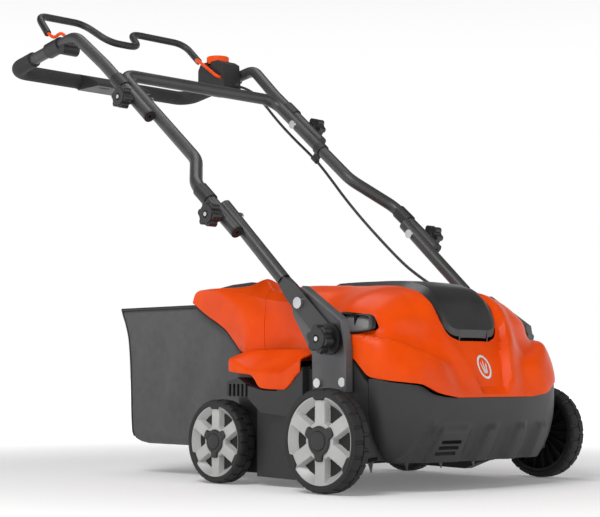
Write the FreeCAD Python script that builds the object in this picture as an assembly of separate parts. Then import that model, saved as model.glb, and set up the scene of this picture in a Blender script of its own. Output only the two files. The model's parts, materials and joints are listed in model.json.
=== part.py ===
import FreeCAD, Part
import math
import os

# A walk-behind lawn scarifier with a folding handle, a spring-tine rotor and a rear collector bag.
# Millimetres. +Z is up, -Y is the front, the ground is z = 0, and x = 0 is the plane of symmetry.
# Places along the machine are counted from the front axle, rearwards, and y_at() moves them to the
# origin, which is on the ground in the middle of the machine's whole box.

V = FreeCAD.Vector

# ---- driving dimensions ---------------------------------------------------------------------------
FRONT_AXLE_Y = -454.8          # the front axle, from the origin
WHEELBASE = 308.0
FRONT_WHEEL_D = 175.0
REAR_WHEEL_D = 152.0
FRONT_WHEEL_OUTER_X = 317.0    # outer face of a front wheel, from the plane of symmetry
REAR_WHEEL_OUTER_X = 276.0
WHEEL_WIDTH = 40.0
TYRE_SHARE = 0.857             # rim radius over tyre radius
AXLE_R = 6.0
RUNNING_FIT = 0.05             # radial clearance of a turning fit
BODY_GAP = 0.4                 # clearance between pieces that move past each other
PRESS = 0.02                   # clearance between pieces that are pressed together
SEAM = 0.5                     # gap at the seam of two fixed covers

DECK_HALF_W = 220.0            # outside of the deck's side walls
CASING_X = 243.0               # outside of the side casings
SHELF_X = 262.0                # outside of the bulge over the belt
WALL = 4.0
COVER_WALL = 3.5
HOOD_REAR_Y = 249.0
HOOD_CROWN_Z = 361.0
APRON_Y = -122.0
APRON_LOW_Z = 49.0
APRON_BACK_Y = -47.0
APRON_POWER = 2.35             # squareness of the apron's outline seen from above
SEAM_Z = 158.0                 # where the hood meets the apron, at the middle of the front

PLATE_X = 246.0                # inner face of the steel bracket
PLATE_T = 4.0
PIVOT = (104.0, 321.0)         # handle pivot, (y, z)
SLOT_RADIUS = 98.0             # the height slot's radius about the pivot
SLOT_REST = 220.9              # where the height bolt stands in its slot, degrees
TILT_LOW, TILT_HIGH = -5.0, 20.0

TUBE_R = 12.5
TUBE_WALL = 1.5
LOWER_X = 249.5                # axes of the three stages of handle tube
UPPER_STEP = 214.0             # middle tube above its jog
LOWER_ANGLE = 42.4
MIDDLE_ANGLE = 40.1
LOWER_LENGTH = 243.5           # pivot to the first fold bolt
MIDDLE_LENGTH = 403.0          # first to second fold bolt
UPPER_LENGTH = 240.0           # second fold bolt to the loop's top bend
BOLT_R = 4.0
GRIP_R = 16.5
GRIP_Y, GRIP_Z = 1012.0, 862.0
LOOP_HALF_W = 248.0

LID_HALF_W = 80.0
LID_FRONT_Y, LID_REAR_Y = -88.0, 208.0
BATTERY = (124.0, 140.0, 74.0)
LID_EAR_X = 58.0
ARCH_STEP = 16.0               # distance between the lofted arches of hood and flap
FLAP_EAR_X = 98.0
PIN_R = 2.0

FLAP_Y, FLAP_END_Y = 256.0, 462.0
FLAP_HALF_W = 204.0
BAG_HALF_W = 182.0
BAG_WALL = 2.5
BAG_REAR_Y = 702.0

ROTOR_Y, ROTOR_Z = 85.0, 88.0
TINE_R = 66.0
TINE_PITCH = 24.0
TINE_COUNT = 17
SHAFT_R = 10.0
MOTOR_Y, MOTOR_Z = 200.0, 172.0
MOTOR_R = 34.0
ROTOR_PULLEY_R, MOTOR_PULLEY_R = 32.0, 12.0
BELT_X, BELT_W, BELT_T = 230.0, 10.0, 3.0

BAIL_AXIS = (815.0, 880.0)     # (y, z)
BAIL_R = 8.0
LINK_R = 3.5
CABLE_D = 6.0

PLATE_BOLTS = [(64.0, 182.5), (4.0, 184.0)]      # the bracket's lower bolts, (y, z)
FLAT_T = 6.0
WINDOW = [(46, 306), (-22, 299), (-34, 272), (8, 266), (38, 268)]      # (y, z)
BELT_CHAMBER = [(40, 50), (40, 128), (100, 196), (224, 196), (224, 130), (130, 50)]
DECK_TOP_Z = 216.0
DECK_REAR_Y = 300.0
SHELF_ROOF = [(206, 238), (206, 242), (262, 208), (262, 204)]           # (x, z)

GRIP_INNER_X = 76.0
GRIP_SIDE = 48.0               # how far each foam grip runs forward of the corner
BOX_X = (182.0, 234.0)
BUTTON_XY = (208.0, 852.0)
BOX_TOP_Z = 921.0
BUTTON_R = 26.0
BUTTON_TRAVEL = 4.0

CLIP_DOWN = 95.0               # from the second fold bolt down the middle tube to the clip
CLIP_REACH = 27.0              # the tube's axis to the cable in its clip
BAG_SIDE = [(314, 74), (314, 314), (330, 326), (BAG_REAR_Y, 328), (BAG_REAR_Y - 27, 267),
            (BAG_REAR_Y - 35, 166), (BAG_REAR_Y - 38, 85), (BAG_REAR_Y - 52, 62), (470, 58),
            (340, 60)]


# ---- small helpers --------------------------------------------------------------------------------
def y_at(y):
    """A place along the machine, counted from the front axle, in the part's frame."""
    return y + FRONT_AXLE_Y


def at(x, y, z):
    return V(x, y_at(y), z)


def save(name, *shapes):
    """One sub-part to its own file: a single solid, or a group of like solids."""
    whole = shapes[0] if len(shapes) == 1 else Part.makeCompound(list(shapes))
    whole.exportStep("parts/" + name + ".step")


def block(x0, x1, y0, y1, z0, z1):
    return Part.makeBox(x1 - x0, y1 - y0, z1 - z0, at(x0, y0, z0))


def rod(x0, x1, place, radius):
    """A round bar along X between two x values, at a (y, z) place."""
    low, high = sorted((x0, x1))
    return Part.makeCylinder(radius, high - low, at(low, place[0], place[1]), V(1, 0, 0))


def ring(x0, x1, place, outer, inner):
    return rod(x0, x1, place, outer).cut(rod(x0 - 1, x1 + 1, place, inner))


def slab(outline, x0, x1):
    """A (y, z) outline, as a plate between two x values."""
    low, high = sorted((x0, x1))
    corners = [at(low, y, z) for y, z in outline]
    face = Part.Face(Part.makePolygon(corners + corners[:1]))
    return face.extrude(V(high - low, 0, 0))


def mirrored(shape):
    return shape.mirror(V(0, 0, 0), V(1, 0, 0))


def both(shape):
    """A shape on the right side and its mirror image on the left."""
    return [shape, mirrored(shape)]


def joined(shapes):
    whole = shapes[0].multiFuse(list(shapes[1:])) if len(shapes) > 1 else shapes[0]
    return whole.removeSplitter()


def polar(place, radius, degrees):
    """The (y, z) place at a distance and direction from another."""
    turn = math.radians(degrees)
    return (place[0] + radius * math.cos(turn), place[1] + radius * math.sin(turn))


def bent_path(points, radii):
    """A wire of straight runs joined by tangent arcs of the given radii."""
    edges, start = [], points[0]
    for before, corner, after, radius in zip(points, points[1:], points[2:], radii):
        back = (before - corner).normalize()
        ahead = (after - corner).normalize()
        half = back.getAngle(ahead) / 2
        reach = radius / math.tan(half)
        middle = (back + ahead).normalize() * (radius / math.sin(half) - radius)
        first, last = corner + back * reach, corner + ahead * reach
        edges.append(Part.LineSegment(start, first).toShape())
        edges.append(Part.Arc(first, corner + middle, last).toShape())
        start = last
    edges.append(Part.LineSegment(start, points[-1]).toShape())
    return Part.Wire(edges)


def swept(points, radii, radius):
    """A solid round bar along a bent path."""
    path = bent_path(points, radii)
    ahead = (points[1] - points[0]).normalize()
    profile = Part.Wire(Part.makeCircle(radius, points[0], ahead))
    return path.makePipeShell([profile], True, True)


def pipe(points, radii, outer, inner):
    return swept(points, radii, outer).cut(swept(points, radii, inner))


def cord_radii(points):
    """The largest arcs that a cord's runs allow."""
    radii = []
    for before, corner, after in zip(points, points[1:], points[2:]):
        turn = math.pi - (before - corner).getAngle(after - corner)
        short = min((before - corner).Length, (after - corner).Length)
        radii.append(0.45 * short / math.tan(turn / 2))
    return radii


def spline(points):
    line = Part.BSplineCurve()
    last = len(points) - 1
    line.interpolate(Points=points, Parameters=[i / last for i in range(last + 1)])
    return line.toShape()


def half_superellipse(half_w, rise, power):
    """(across, rise) pairs along half a superellipse, from one foot to the other."""
    steps = 14
    pairs = []
    for i in range(steps + 1):
        turn = math.pi * i / steps
        side = math.cos(turn)
        across = math.copysign(abs(side) ** (2 / power), side) * half_w
        pairs.append((across, rise * abs(math.sin(turn)) ** (2 / power)))
    return pairs


def arch_points(y, half_w, low_z, top_z, power):
    """Points of an arch that stands across the machine on its two feet."""
    return [at(x, y, low_z + h) for x, h in half_superellipse(half_w, top_z - low_z, power)]


def loop_of(first, second):
    """A closed wire: one line of points, and the other back, joined by straight ends."""
    ends = [Part.makeLine(first[-1], second[0])] if second else []
    back = [spline(second)] if second else []
    close = Part.makeLine(second[-1] if second else first[-1], first[0])
    return Part.Wire([spline(first)] + ends + back + [close])


def slope(before, here, after, column):
    """The slope of a smooth line at a station, level where the line turns back."""
    first = (here[column] - before[column]) / (here[0] - before[0])
    last = (after[column] - here[column]) / (after[0] - here[0])
    return 0.0 if first * last <= 0 else 2 * first * last / (first + last)


def between(stations):
    """The stations with smooth ones added, so that the arches between them stand close."""
    ends = [stations[0]] + list(stations) + [stations[-1]]
    result = [stations[0]]
    for i in range(len(stations) - 1):
        low, high = stations[i], stations[i + 1]
        run = high[0] - low[0]
        parts = max(1, round(abs(run) / ARCH_STEP))
        for k in range(1, parts + 1):
            t = k / parts
            values = [low[0] + run * t]
            for column in range(1, len(low)):
                m0 = slope(ends[i], low, high, column) if i else (high[column] - low[column]) / run
                m1 = (slope(low, high, ends[i + 3], column) if i + 2 < len(stations)
                      else (high[column] - low[column]) / run)
                a, b = (1 + 2 * t) * (1 - t) ** 2, t * (1 - t) ** 2
                c, d = t * t * (3 - 2 * t), t * t * (t - 1)
                values.append(a * low[column] + b * run * m0 + c * high[column] + d * run * m1)
            result.append(tuple(values))
    return result


def arch_shell(stations, wall):
    """A thin shell of lofted arches, open below and at both ends."""
    wires = [
        loop_of(arch_points(y, half_w, low_z, top_z, power),
                arch_points(y, half_w - wall, low_z, top_z - wall, power)[::-1])
        for y, half_w, low_z, top_z, power in between(stations)
    ]
    return Part.makeLoft(wires, True, True)


def arch_height(station, x):
    """The height of a station's arch at an x."""
    y, half_w, low_z, top_z, power = station
    return low_z + (top_z - low_z) * (1 - abs(x / half_w) ** power) ** (1 / power)


# ---- places worked out from the dimensions --------------------------------------------------------
FRONT_AXLE = (0.0, FRONT_WHEEL_D / 2)
REAR_AXLE = (WHEELBASE, REAR_WHEEL_D / 2)
ROTOR = (ROTOR_Y, ROTOR_Z)
MOTOR = (MOTOR_Y, MOTOR_Z)
TUBE_STEP = 2 * TUBE_R + BODY_GAP          # side by side tubes that fold past each other
MIDDLE_X = LOWER_X + TUBE_STEP
UPPER_X = UPPER_STEP + TUBE_STEP
FLAT_X = PLATE_X + PLATE_T + BODY_GAP      # inner face of the tube's flattened end
HEIGHT_BOLT = polar(PIVOT, SLOT_RADIUS, SLOT_REST)
FOLD_1 = polar(PIVOT, LOWER_LENGTH, LOWER_ANGLE)
FOLD_2 = polar(FOLD_1, MIDDLE_LENGTH, MIDDLE_ANGLE)
LOOP_TOP = polar(FOLD_2, UPPER_LENGTH, MIDDLE_ANGLE)

HOOD_STATIONS = [
    (APRON_Y - 1, 100.0, SEAM_Z, 168.0, 2.6),
    (-113.0, 145.0, SEAM_Z + 7, 196.0, 2.6),
    (-102.0, 179.0, SEAM_Z + 23, 224.0, 2.6),
    (-88.0, 199.0, SEAM_Z + 26, 252.0, 2.6),
    (-70.0, 217.0, 187.0, 286.0, 2.6),
    (-45.0, 229.0, 193.0, 328.0, 2.6),
    (-15.0, 232.0, 222.0, 349.0, 2.6),
    (30.0, 229.0, 256.0, 359.0, 2.6),
    (80.0, 212.0, 246.0, HOOD_CROWN_Z, 2.8),
    (130.0, 204.0, 222.0, HOOD_CROWN_Z, 3.4),
    (HOOD_REAR_Y, 203.0, 218.0, HOOD_CROWN_Z - 2, 4.5),
]
LID_AXIS = (LID_REAR_Y - 6, HOOD_CROWN_Z - 6)       # (y, z)
FLAP_AXIS = (FLAP_Y + 8, HOOD_CROWN_Z - 6)


# ---- deck and casings -----------------------------------------------------------------------------
def deck():
    """The dark plastic deck: two side walls, a roof over rotor and motor, and the chute's floor."""
    outline = [
        (-46, 54), (-46, 150), (-10, 196), (40, DECK_TOP_Z), (HOOD_REAR_Y + 4, DECK_TOP_Z),
        (DECK_REAR_Y, 236), (DECK_REAR_Y, 20), (130, 20),
    ]
    hollow = [
        (-46 + WALL, 0), (-46 + WALL, 149), (-8, 192), (41, DECK_TOP_Z - WALL),
        (HOOD_REAR_Y + 2, DECK_TOP_Z - WALL), (DECK_REAR_Y - WALL, 232), (DECK_REAR_Y - WALL, 0),
    ]
    inside = DECK_HALF_W - WALL
    body = slab(outline, -DECK_HALF_W, DECK_HALF_W).cut(slab(hollow, -inside, inside))
    baffle = [(15, 166), (85, 164), (150, 132), (170, 128), (296.5, 128), (296.5, 131), (171, 131),
              (152, 135), (86, 167), (15, 169)]
    body = body.fuse(slab(baffle, -inside - 1, inside + 1))
    body = body.cut(block(-170, 170, DECK_REAR_Y - 10, DECK_REAR_Y + 10, 30, 126))
    bosses, bores = [], []
    for side in (-1, 1):
        wall = side * inside
        bosses.append(rod(wall - side * 10, wall + side * 1, ROTOR, 21))
        bores.append(rod(wall - side * 12, wall, ROTOR, 17.05))
        bores.append(rod(wall - side * 12, side * (DECK_HALF_W + 1), ROTOR, SHAFT_R + 1))
        for axle in (FRONT_AXLE, REAR_AXLE):
            bosses.append(rod(wall - side * 12, wall + side * 1, axle, 14))
            bores.append(rod(wall - side * 16, side * (DECK_HALF_W + 1), axle, AXLE_R))
    ear = [(285, 50), (285, 106), (318, 98), (326, 76), (318, 54)]
    for side in (-1, 1):
        bosses.append(slab(ear, side * (DECK_HALF_W - WALL), side * DECK_HALF_W))
    bores.append(rod(-DECK_HALF_W - 1, -inside + 3, MOTOR, 9))
    return joined([body] + bosses).cut(Part.makeCompound(bores))


def casing(side):
    """A side casing: a flat wall with a bulge, hollow where the belt runs."""
    flat = [(-46, 60), (-46, 182), (-37, 189), (-3, 229), (37, 251), (72, 251), (92, 212),
            (117, 194), (160, 168), (193, 169), (226, 175), (226, 16), (130, 14), (60, 40)]
    bulge = [(94, 210), (117, 194), (160, 168), (193, 169), (232, 176), (262, 192), (290, 184),
             (290, 158), (238, 158), (200, 130), (130, 124), (94, 150)]
    inner = DECK_HALF_W + SEAM
    body = slab(flat, side * inner, side * CASING_X)
    body = body.fuse(slab(bulge, side * inner, side * (SHELF_X - 3)))
    body = body.cut(slab(BELT_CHAMBER, side * (inner - 1), side * (CASING_X - 3)))
    clear = block(*sorted((side * 232, side * 270)), -12, 92, 206, 262)
    body = body.cut(clear)
    pads = [rod(side * (CASING_X - 1), side * PLATE_X, place, 9) for place in PLATE_BOLTS]
    body = body.multiFuse(pads)
    holes = [rod(side * 225, side * (PLATE_X + 1), place, BOLT_R) for place in PLATE_BOLTS]
    holes += [rod(side * (inner - 1), side * (CASING_X + 1), axle, AXLE_R)
              for axle in (FRONT_AXLE,)]
    for i in range(5):
        y = 234 + 11 * i
        holes.append(slab([(y, 150), (y, 180), (y + 6, 180), (y + 6, 150)],
                          side * (SHELF_X - 12), side * SHELF_X))
    return body.cut(Part.makeCompound(holes)).removeSplitter()


def shelf(side):
    """The orange cover over the belt's bulge, hollow from its inner side."""
    outline = [(94, 214), (118, 196), (161, 170), (193, 171), (232, 178), (262, 194), (275, 215),
               (273, 227), (262, 237), (235, 216), (193, 207), (172, 205), (120, 226)]
    hollow = [(112, 208), (122, 200), (163, 175), (193, 176), (231, 183), (258, 198), (268, 214),
              (267, 224), (260, 229), (236, 210), (194, 201), (171, 199), (118, 219)]
    inner = 206
    body = slab(outline, side * inner, side * SHELF_X)
    body = body.cut(slab(hollow, side * (inner - 1), side * (SHELF_X - 3)))
    roof = [at(side * x, 150, z) for x, z in SHELF_ROOF]
    body = body.fuse(Part.Face(Part.makePolygon(roof + roof[:1])).extrude(V(0, 108, 0)))
    body = body.cut(slab(BELT_CHAMBER, side * (inner - 1), side * (CASING_X - 3)))
    over_deck = [(80, 160), (80, DECK_TOP_Z + SEAM), (HOOD_REAR_Y, DECK_TOP_Z + SEAM),
                 (HOOD_REAR_Y, 242), (290, 242), (290, 160)]
    return body.cut(slab(over_deck, side * (inner - 1), side * (DECK_HALF_W + SEAM)))


def hood():
    """The orange hood: a lofted shell with the battery opening, side windows and hinge ears."""
    shell = arch_shell(HOOD_STATIONS, COVER_WALL)
    y, half_w, low_z, top_z, power = HOOD_STATIONS[0]
    shell = shell.fuse(block(-half_w * 0.95, half_w * 0.95, y, y + COVER_WALL, low_z, top_z - 3))
    shell = shell.cut(lid_prism(SEAM + BODY_GAP, 3.0, 3.0, 200, 400))
    for side in (-1, 1):
        shell = shell.cut(slab(WINDOW, side * 195, side * 250))
    y, z = LID_AXIS
    lid_ear = [(y - 4, z - 4), (y - 4, z + 3), (y + 4, z + 4), (y + 22, z + 4), (y + 22, z - 3)]
    ears = []
    for side in (-1, 1):
        ears.append(slab(lid_ear, side * LID_EAR_X, side * (LID_EAR_X + 6)))
        ears.append(rod(side * (LID_EAR_X - 8), side * LID_EAR_X, LID_AXIS, PIN_R))
        y, z = FLAP_AXIS
        ear = [(y - 34, z - 24), (y - 34, z + 1.5), (y - 16, z + 1.5), (y - 16, z - 18),
               (y - 7, z - 7), (y - 4, z + 3), (y + 4, z + 3), (y + 4, z - 8), (y - 10, z - 26)]
        ears.append(slab(ear, side * FLAP_EAR_X, side * (FLAP_EAR_X + 6)))
        ears.append(rod(side * (FLAP_EAR_X - 8), side * FLAP_EAR_X, FLAP_AXIS, PIN_R))
    shell = joined([shell] + ears)
    start, end = CABLE_LOWER[-2], CABLE_LOWER[-1]
    return shell.cut(Part.makeCylinder(CABLE_D / 2 + 1.5, (end - start).Length, start, end - start))


def lid_prism(grow, front_gap, rear_gap, low_z, high_z):
    """The lid's outline seen from above, as a prism."""
    w = LID_HALF_W + grow
    front, rear = LID_FRONT_Y - front_gap, LID_REAR_Y + rear_gap
    outline = [(-w, rear), (-w, front + 40), (-w * 0.55, front), (w * 0.55, front),
               (w, front + 40), (w, rear)]
    corners = [at(x, y, low_z) for x, y in outline]
    face = Part.Face(Part.makePolygon(corners + corners[:1]))
    return face.extrude(V(0, 0, high_z - low_z))


def lid():
    """The dark battery lid: the hood's own arch inside the lid's outline, on two hinge lugs."""
    wires = []
    for station in between(HOOD_STATIONS):
        y = station[0]
        if not LID_FRONT_Y <= y <= LID_REAR_Y:
            continue
        w = min(LID_HALF_W, LID_HALF_W * (0.55 + 0.45 * (y - LID_FRONT_Y) / 40))
        xs = [w * (1 - i / 4) for i in range(9)]
        outer = [at(x, y, arch_height(station, x)) for x in xs]
        inner = [at(x, y, arch_height(station, x) - COVER_WALL) for x in xs[::-1]]
        wires.append(loop_of(outer, inner))
    skin = Part.makeLoft(wires, True, True)
    y, z = LID_AXIS
    lugs, cuts = [], []
    for side in (-1, 1):
        x0, x1 = side * (LID_EAR_X - 7), side * (LID_EAR_X - 1)
        lugs.append(rod(x0, x1, LID_AXIS, 4))
        lugs.append(slab([(y - 4, z), (y - 4, z + 3), (y + 4, z + 3), (y + 4, z)], x0, x1))
        cuts.append(rod(x0 - side, x1 + side, LID_AXIS, PIN_R + RUNNING_FIT))
        cuts.append(block(*sorted((side * (LID_EAR_X - 1), side * (LID_EAR_X + 7))),
                          y - 7, y + 20, 300, 400))
    return joined([skin] + lugs).cut(Part.makeCompound(cuts))


def apron():
    """The dark front apron: plan outlines lofted upwards, hollow behind, with vent slots."""
    def outline(z, depth, half_w):
        pairs = half_superellipse(half_w, depth, APRON_POWER)
        return [at(x, APRON_BACK_Y - forward, z) for x, forward in pairs]

    deep = APRON_BACK_Y - APRON_Y
    levels = [(APRON_LOW_Z, deep - 16, 226), (70, deep - 11, 232), (100, deep - 6, 237),
              (130, deep - 2, 241), (SEAM_Z - SEAM, deep, 243), (191, deep, 243)]
    wires = [loop_of(outline(z, d, w), outline(z, d - COVER_WALL, w - COVER_WALL)[::-1])
             for z, d, w in levels]
    body = Part.makeLoft(wires, True, True)
    edge = [(0, -SEAM), (100, -SEAM), (144, 5), (178, 21), (200, 24), (260, 30), (260, 60)]
    edge = [(x, SEAM_Z + z) for x, z in edge]
    edge += [(-x, z) for x, z in edge[:0:-1]]
    corners = [at(x, APRON_Y - 20, z) for x, z in edge]
    above = Part.Face(Part.makePolygon(corners + corners[:1])).extrude(V(0, deep + 40, 0))
    slots = [block(-52, -18, -140, -90, 62 + 11 * i, 68 + 11 * i) for i in range(3)]
    return biggest(body.cut(above).cut(Part.makeCompound(slots)))


def biggest(shape):
    return max(shape.Solids, key=lambda solid: solid.Volume)


def window_frame(side):
    """The dark frame and grey insert in the hood's side window."""
    middle_y = sum(y for y, z in WINDOW) / len(WINDOW)
    middle_z = sum(z for y, z in WINDOW) / len(WINDOW)

    def scaled(share):
        return [(middle_y + (y - middle_y) * share, middle_z + (z - middle_z) * share)
                for y, z in WINDOW]

    body = slab(scaled(0.97), side * 198, side * 219)
    return body.cut(slab(scaled(0.80), side * 206, side * 222))


# ---- battery --------------------------------------------------------------------------------------
def battery_bay():
    w, length, height = BATTERY
    outer = block(-w / 2 - 6, w / 2 + 6, -16, length + 4, 246, 300)
    bay = outer.cut(block(-w / 2 - 2, w / 2 + 2, -12, length, 250, 301))
    feet = [block(x - 2, x + 2, 10, length - 20, DECK_TOP_Z + SEAM, 247) for x in (-40, 40)]
    return joined([bay] + feet)


def battery():
    w, length, height = BATTERY
    pack = block(-w / 2, w / 2, -10, length - 12, 252, 252 + height)
    edges = [e for e in pack.Edges if abs(e.Vertexes[0].Point.z - e.Vertexes[1].Point.z) > 1]
    return pack.makeFillet(8, edges)


# ---- brackets and bolts ---------------------------------------------------------------------------


def bracket(side):
    """The pressed steel bracket: a plate with an arc slot and a flange along its front edge."""
    outline = [(-13, 168), (78, 168), (80, 232), (126, 300), (132, 322), (118, 345), (91, 350),
               (-3, 290), (-13, 240)]
    plate = slab(outline, side * PLATE_X, side * (PLATE_X + PLATE_T))
    edge = [(91, 350), (-3, 290), (-13, 240), (-13, 168), (-9, 168), (-9, 239), (1, 287), (93, 346)]
    plate = plate.fuse(slab(edge, side * PLATE_X, side * (PLATE_X + 16)))
    wide = BOLT_R + BODY_GAP
    slot = []
    first, last = SLOT_REST + TILT_LOW, SLOT_REST + TILT_HIGH
    for grow, order in ((wide, (first, last)), (-wide, (last, first))):
        for i in range(9):
            angle = order[0] + (order[1] - order[0]) * i / 8
            slot.append(polar(PIVOT, SLOT_RADIUS + grow, angle))
    low, high = side * (PLATE_X - 1), side * (PLATE_X + PLATE_T + 1)
    cuts = [slab(slot, low, high)]
    cuts += [rod(low, high, polar(PIVOT, SLOT_RADIUS, end), wide) for end in (first, last)]
    cuts += [rod(low, high, place, BOLT_R) for place in PLATE_BOLTS]
    cuts.append(rod(low, high, PIVOT, BOLT_R + 1))
    for cut in cuts:
        plate = plate.cut(cut)
    return plate.removeSplitter()


def bolt(side, place, head_x, end_x, radius, head_r, head_t):
    """A bolt along X with a domed head. head_x is the face that its head bears on."""
    away = 1 if abs(head_x) > abs(end_x) else -1
    head = rod(side * head_x, side * (head_x + away * head_t), place, head_r)
    return head.fuse(rod(side * head_x, side * end_x, place, radius)).removeSplitter()


def bracket_bolts():
    bolts = []
    for side in (-1, 1):
        for place in PLATE_BOLTS:
            bolts.append(bolt(side, place, PLATE_X + PLATE_T, 228, BOLT_R, 8, 5))
        head = FLAT_X + FLAT_T + BODY_GAP
        bolts.append(bolt(side, PIVOT, head, 236, BOLT_R + 1, 10, 6)
                     .fuse(rod(side * 240, side * PLATE_X, PIVOT, 9)).removeSplitter())
    return bolts


# ---- wheels ---------------------------------------------------------------------------------------
def wheel(side, outer_x, axle, diameter, name):
    """A wheel's tyre, rim and hub cap, each to its own file."""
    radius = diameter / 2
    rim_r = radius * TYRE_SHARE
    face = side * (outer_x - 2)
    back = side * (outer_x - WHEEL_WIDTH)
    tyre = rod(face, back, axle, radius).cut(rod(face + side, back - side, axle, rim_r))
    lugs = 22
    cuts = []
    for i in range(lugs):
        for row, (x0, x1) in enumerate(((outer_x - 1, outer_x - 14), (outer_x - 26, outer_x - 41))):
            angle = 360.0 / lugs * (i + 0.5 * row)
            groove = slab([(radius - 4, -2.2), (radius + 3, -2.2), (radius + 3, 2.2),
                           (radius - 4, 2.2)], side * x0, side * x1)
            groove.rotate(at(0, 0, 0), V(1, 0, 0), angle)
            groove.translate(V(0, axle[0], axle[1]))
            cuts.append(groove)
    tyre = tyre.cut(Part.makeCompound(cuts))

    hub_r, deep = radius * 0.24, side * (outer_x - 3)
    barrel = ring(*sorted((deep, side * (outer_x - WHEEL_WIDTH + 4))), axle, rim_r,
                  rim_r - radius * 0.09)
    web = rod(side * (outer_x - 24), side * (outer_x - 27), axle, rim_r - 2)
    hub = rod(side * (outer_x - 9), side * (outer_x - WHEEL_WIDTH + 2), axle, hub_r)
    spokes = []
    for i in range(6):
        half = radius * 0.14
        spoke = slab([(0, -half), (rim_r - 3, -half * 1.15), (rim_r - 3, half * 1.15), (0, half)],
                     side * (outer_x - 8), side * (outer_x - 25))
        spoke.rotate(at(0, 0, 0), V(1, 0, 0), 30 + 60 * i)
        spoke.translate(V(0, axle[0], axle[1]))
        spokes.append(spoke)
    rim = joined([barrel, web, hub] + spokes)
    rim = rim.cut(rod(0, side * 400, axle, AXLE_R + RUNNING_FIT))
    rim = rim.cut(rod(side * (outer_x - 12), side * outer_x, axle, hub_r * 0.72))

    lobes = [rod(side * (outer_x - 7.5), side * (outer_x - 1), polar(axle, hub_r * 0.95, a),
                 hub_r * 0.38) for a in (-30, 90, 210)]
    cap = joined([rod(side * (outer_x - 7.5), side * outer_x, axle, hub_r)] + lobes)
    save("tyre_" + name, tyre)
    save("rim_" + name, rim)
    save("hub_cap_" + name, cap)


def axles():
    """Four stub axles, pressed into the deck."""
    stubs = []
    for outer_x, axle in ((FRONT_WHEEL_OUTER_X, FRONT_AXLE), (REAR_WHEEL_OUTER_X, REAR_AXLE)):
        stubs += both(rod(-(outer_x - 10), -(DECK_HALF_W - WALL - 12), axle, AXLE_R))
    return stubs


# ---- rotor and drive ------------------------------------------------------------------------------
def rotor_shaft():
    return rod(-(BELT_X + BELT_W / 2 + 3), DECK_HALF_W - 2, ROTOR, SHAFT_R)


def bearings():
    inside = DECK_HALF_W - WALL
    return both(ring(-inside, -inside + 9, ROTOR, 17, SHAFT_R + RUNNING_FIT))


def tines():
    """Sprung tines on spacer hubs along the shaft, each a quarter turn on from the last."""
    first = -TINE_PITCH * (TINE_COUNT - 1) / 2
    solids = []
    for i in range(TINE_COUNT):
        x = first + TINE_PITCH * i
        hub = rod(x - TINE_PITCH / 2 + 0.3, x + TINE_PITCH / 2 - 0.3, (0, 0), SHAFT_R + 6)
        arm = slab([(-7, SHAFT_R + 3), (-9, TINE_R - 22), (0, TINE_R), (5, TINE_R - 22),
                    (7, SHAFT_R + 3)], x - 1.5, x + 1.5)
        tine = hub.fuse(arm).cut(rod(x - TINE_PITCH, x + TINE_PITCH, (0, 0), SHAFT_R))
        tine.rotate(at(0, 0, 0), V(1, 0, 0), 180 + 90 * i)
        tine.translate(V(0, ROTOR_Y, ROTOR_Z))
        solids.append(tine)
    return solids


def pulley(place, radius, bore):
    """A flat-belt pulley with a rim at each side."""
    low, high = -(BELT_X + BELT_W / 2), -(BELT_X - BELT_W / 2)
    body = rod(low, high, place, radius - 0.3)
    for x in (low - 1.5, high):
        body = body.fuse(rod(x, x + 1.5, place, radius + 1.5))
    return body.cut(rod(low - 3, high + 3, place, bore)).removeSplitter()


def belt():
    """An open belt loop round the two pulleys, clear of both."""
    dy, dz = MOTOR_Y - ROTOR_Y, MOTOR_Z - ROTOR_Z
    length = math.hypot(dy, dz)
    lean = math.degrees(math.atan2(dz, dy))
    wrap = math.degrees(math.acos((ROTOR_PULLEY_R - MOTOR_PULLEY_R) / length))

    def loop(grow):
        big, small = ROTOR_PULLEY_R + grow, MOTOR_PULLEY_R + grow
        corners = [polar(ROTOR, big, lean + wrap), polar(MOTOR, small, lean + wrap),
                   polar(MOTOR, small, lean - wrap), polar(ROTOR, big, lean - wrap)]
        low, high = -(BELT_X + BELT_W / 2 - 0.5), -(BELT_X - BELT_W / 2 + 0.5)
        return joined([slab(corners, low, high), rod(low, high, ROTOR, big),
                       rod(low, high, MOTOR, small)])

    return loop(BELT_T + 0.2).cut(loop(0.2))


def motor():
    inside = DECK_HALF_W - WALL
    can = rod(-inside + 1, -inside + 110, MOTOR, MOTOR_R)
    ribs = [ring(-inside + 16 + 12 * i, -inside + 20 + 12 * i, MOTOR, MOTOR_R + 1.5, MOTOR_R - 1)
            for i in range(7)]
    return joined([can] + ribs).cut(rod(-inside, -inside + 22, MOTOR, 6 + RUNNING_FIT))


def motor_pulley():
    inside = DECK_HALF_W - WALL
    shaft = rod(-(BELT_X + BELT_W / 2 + 3), -inside + 20, MOTOR, 6)
    return joined([pulley(MOTOR, MOTOR_PULLEY_R, 5.5), shaft])


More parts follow.
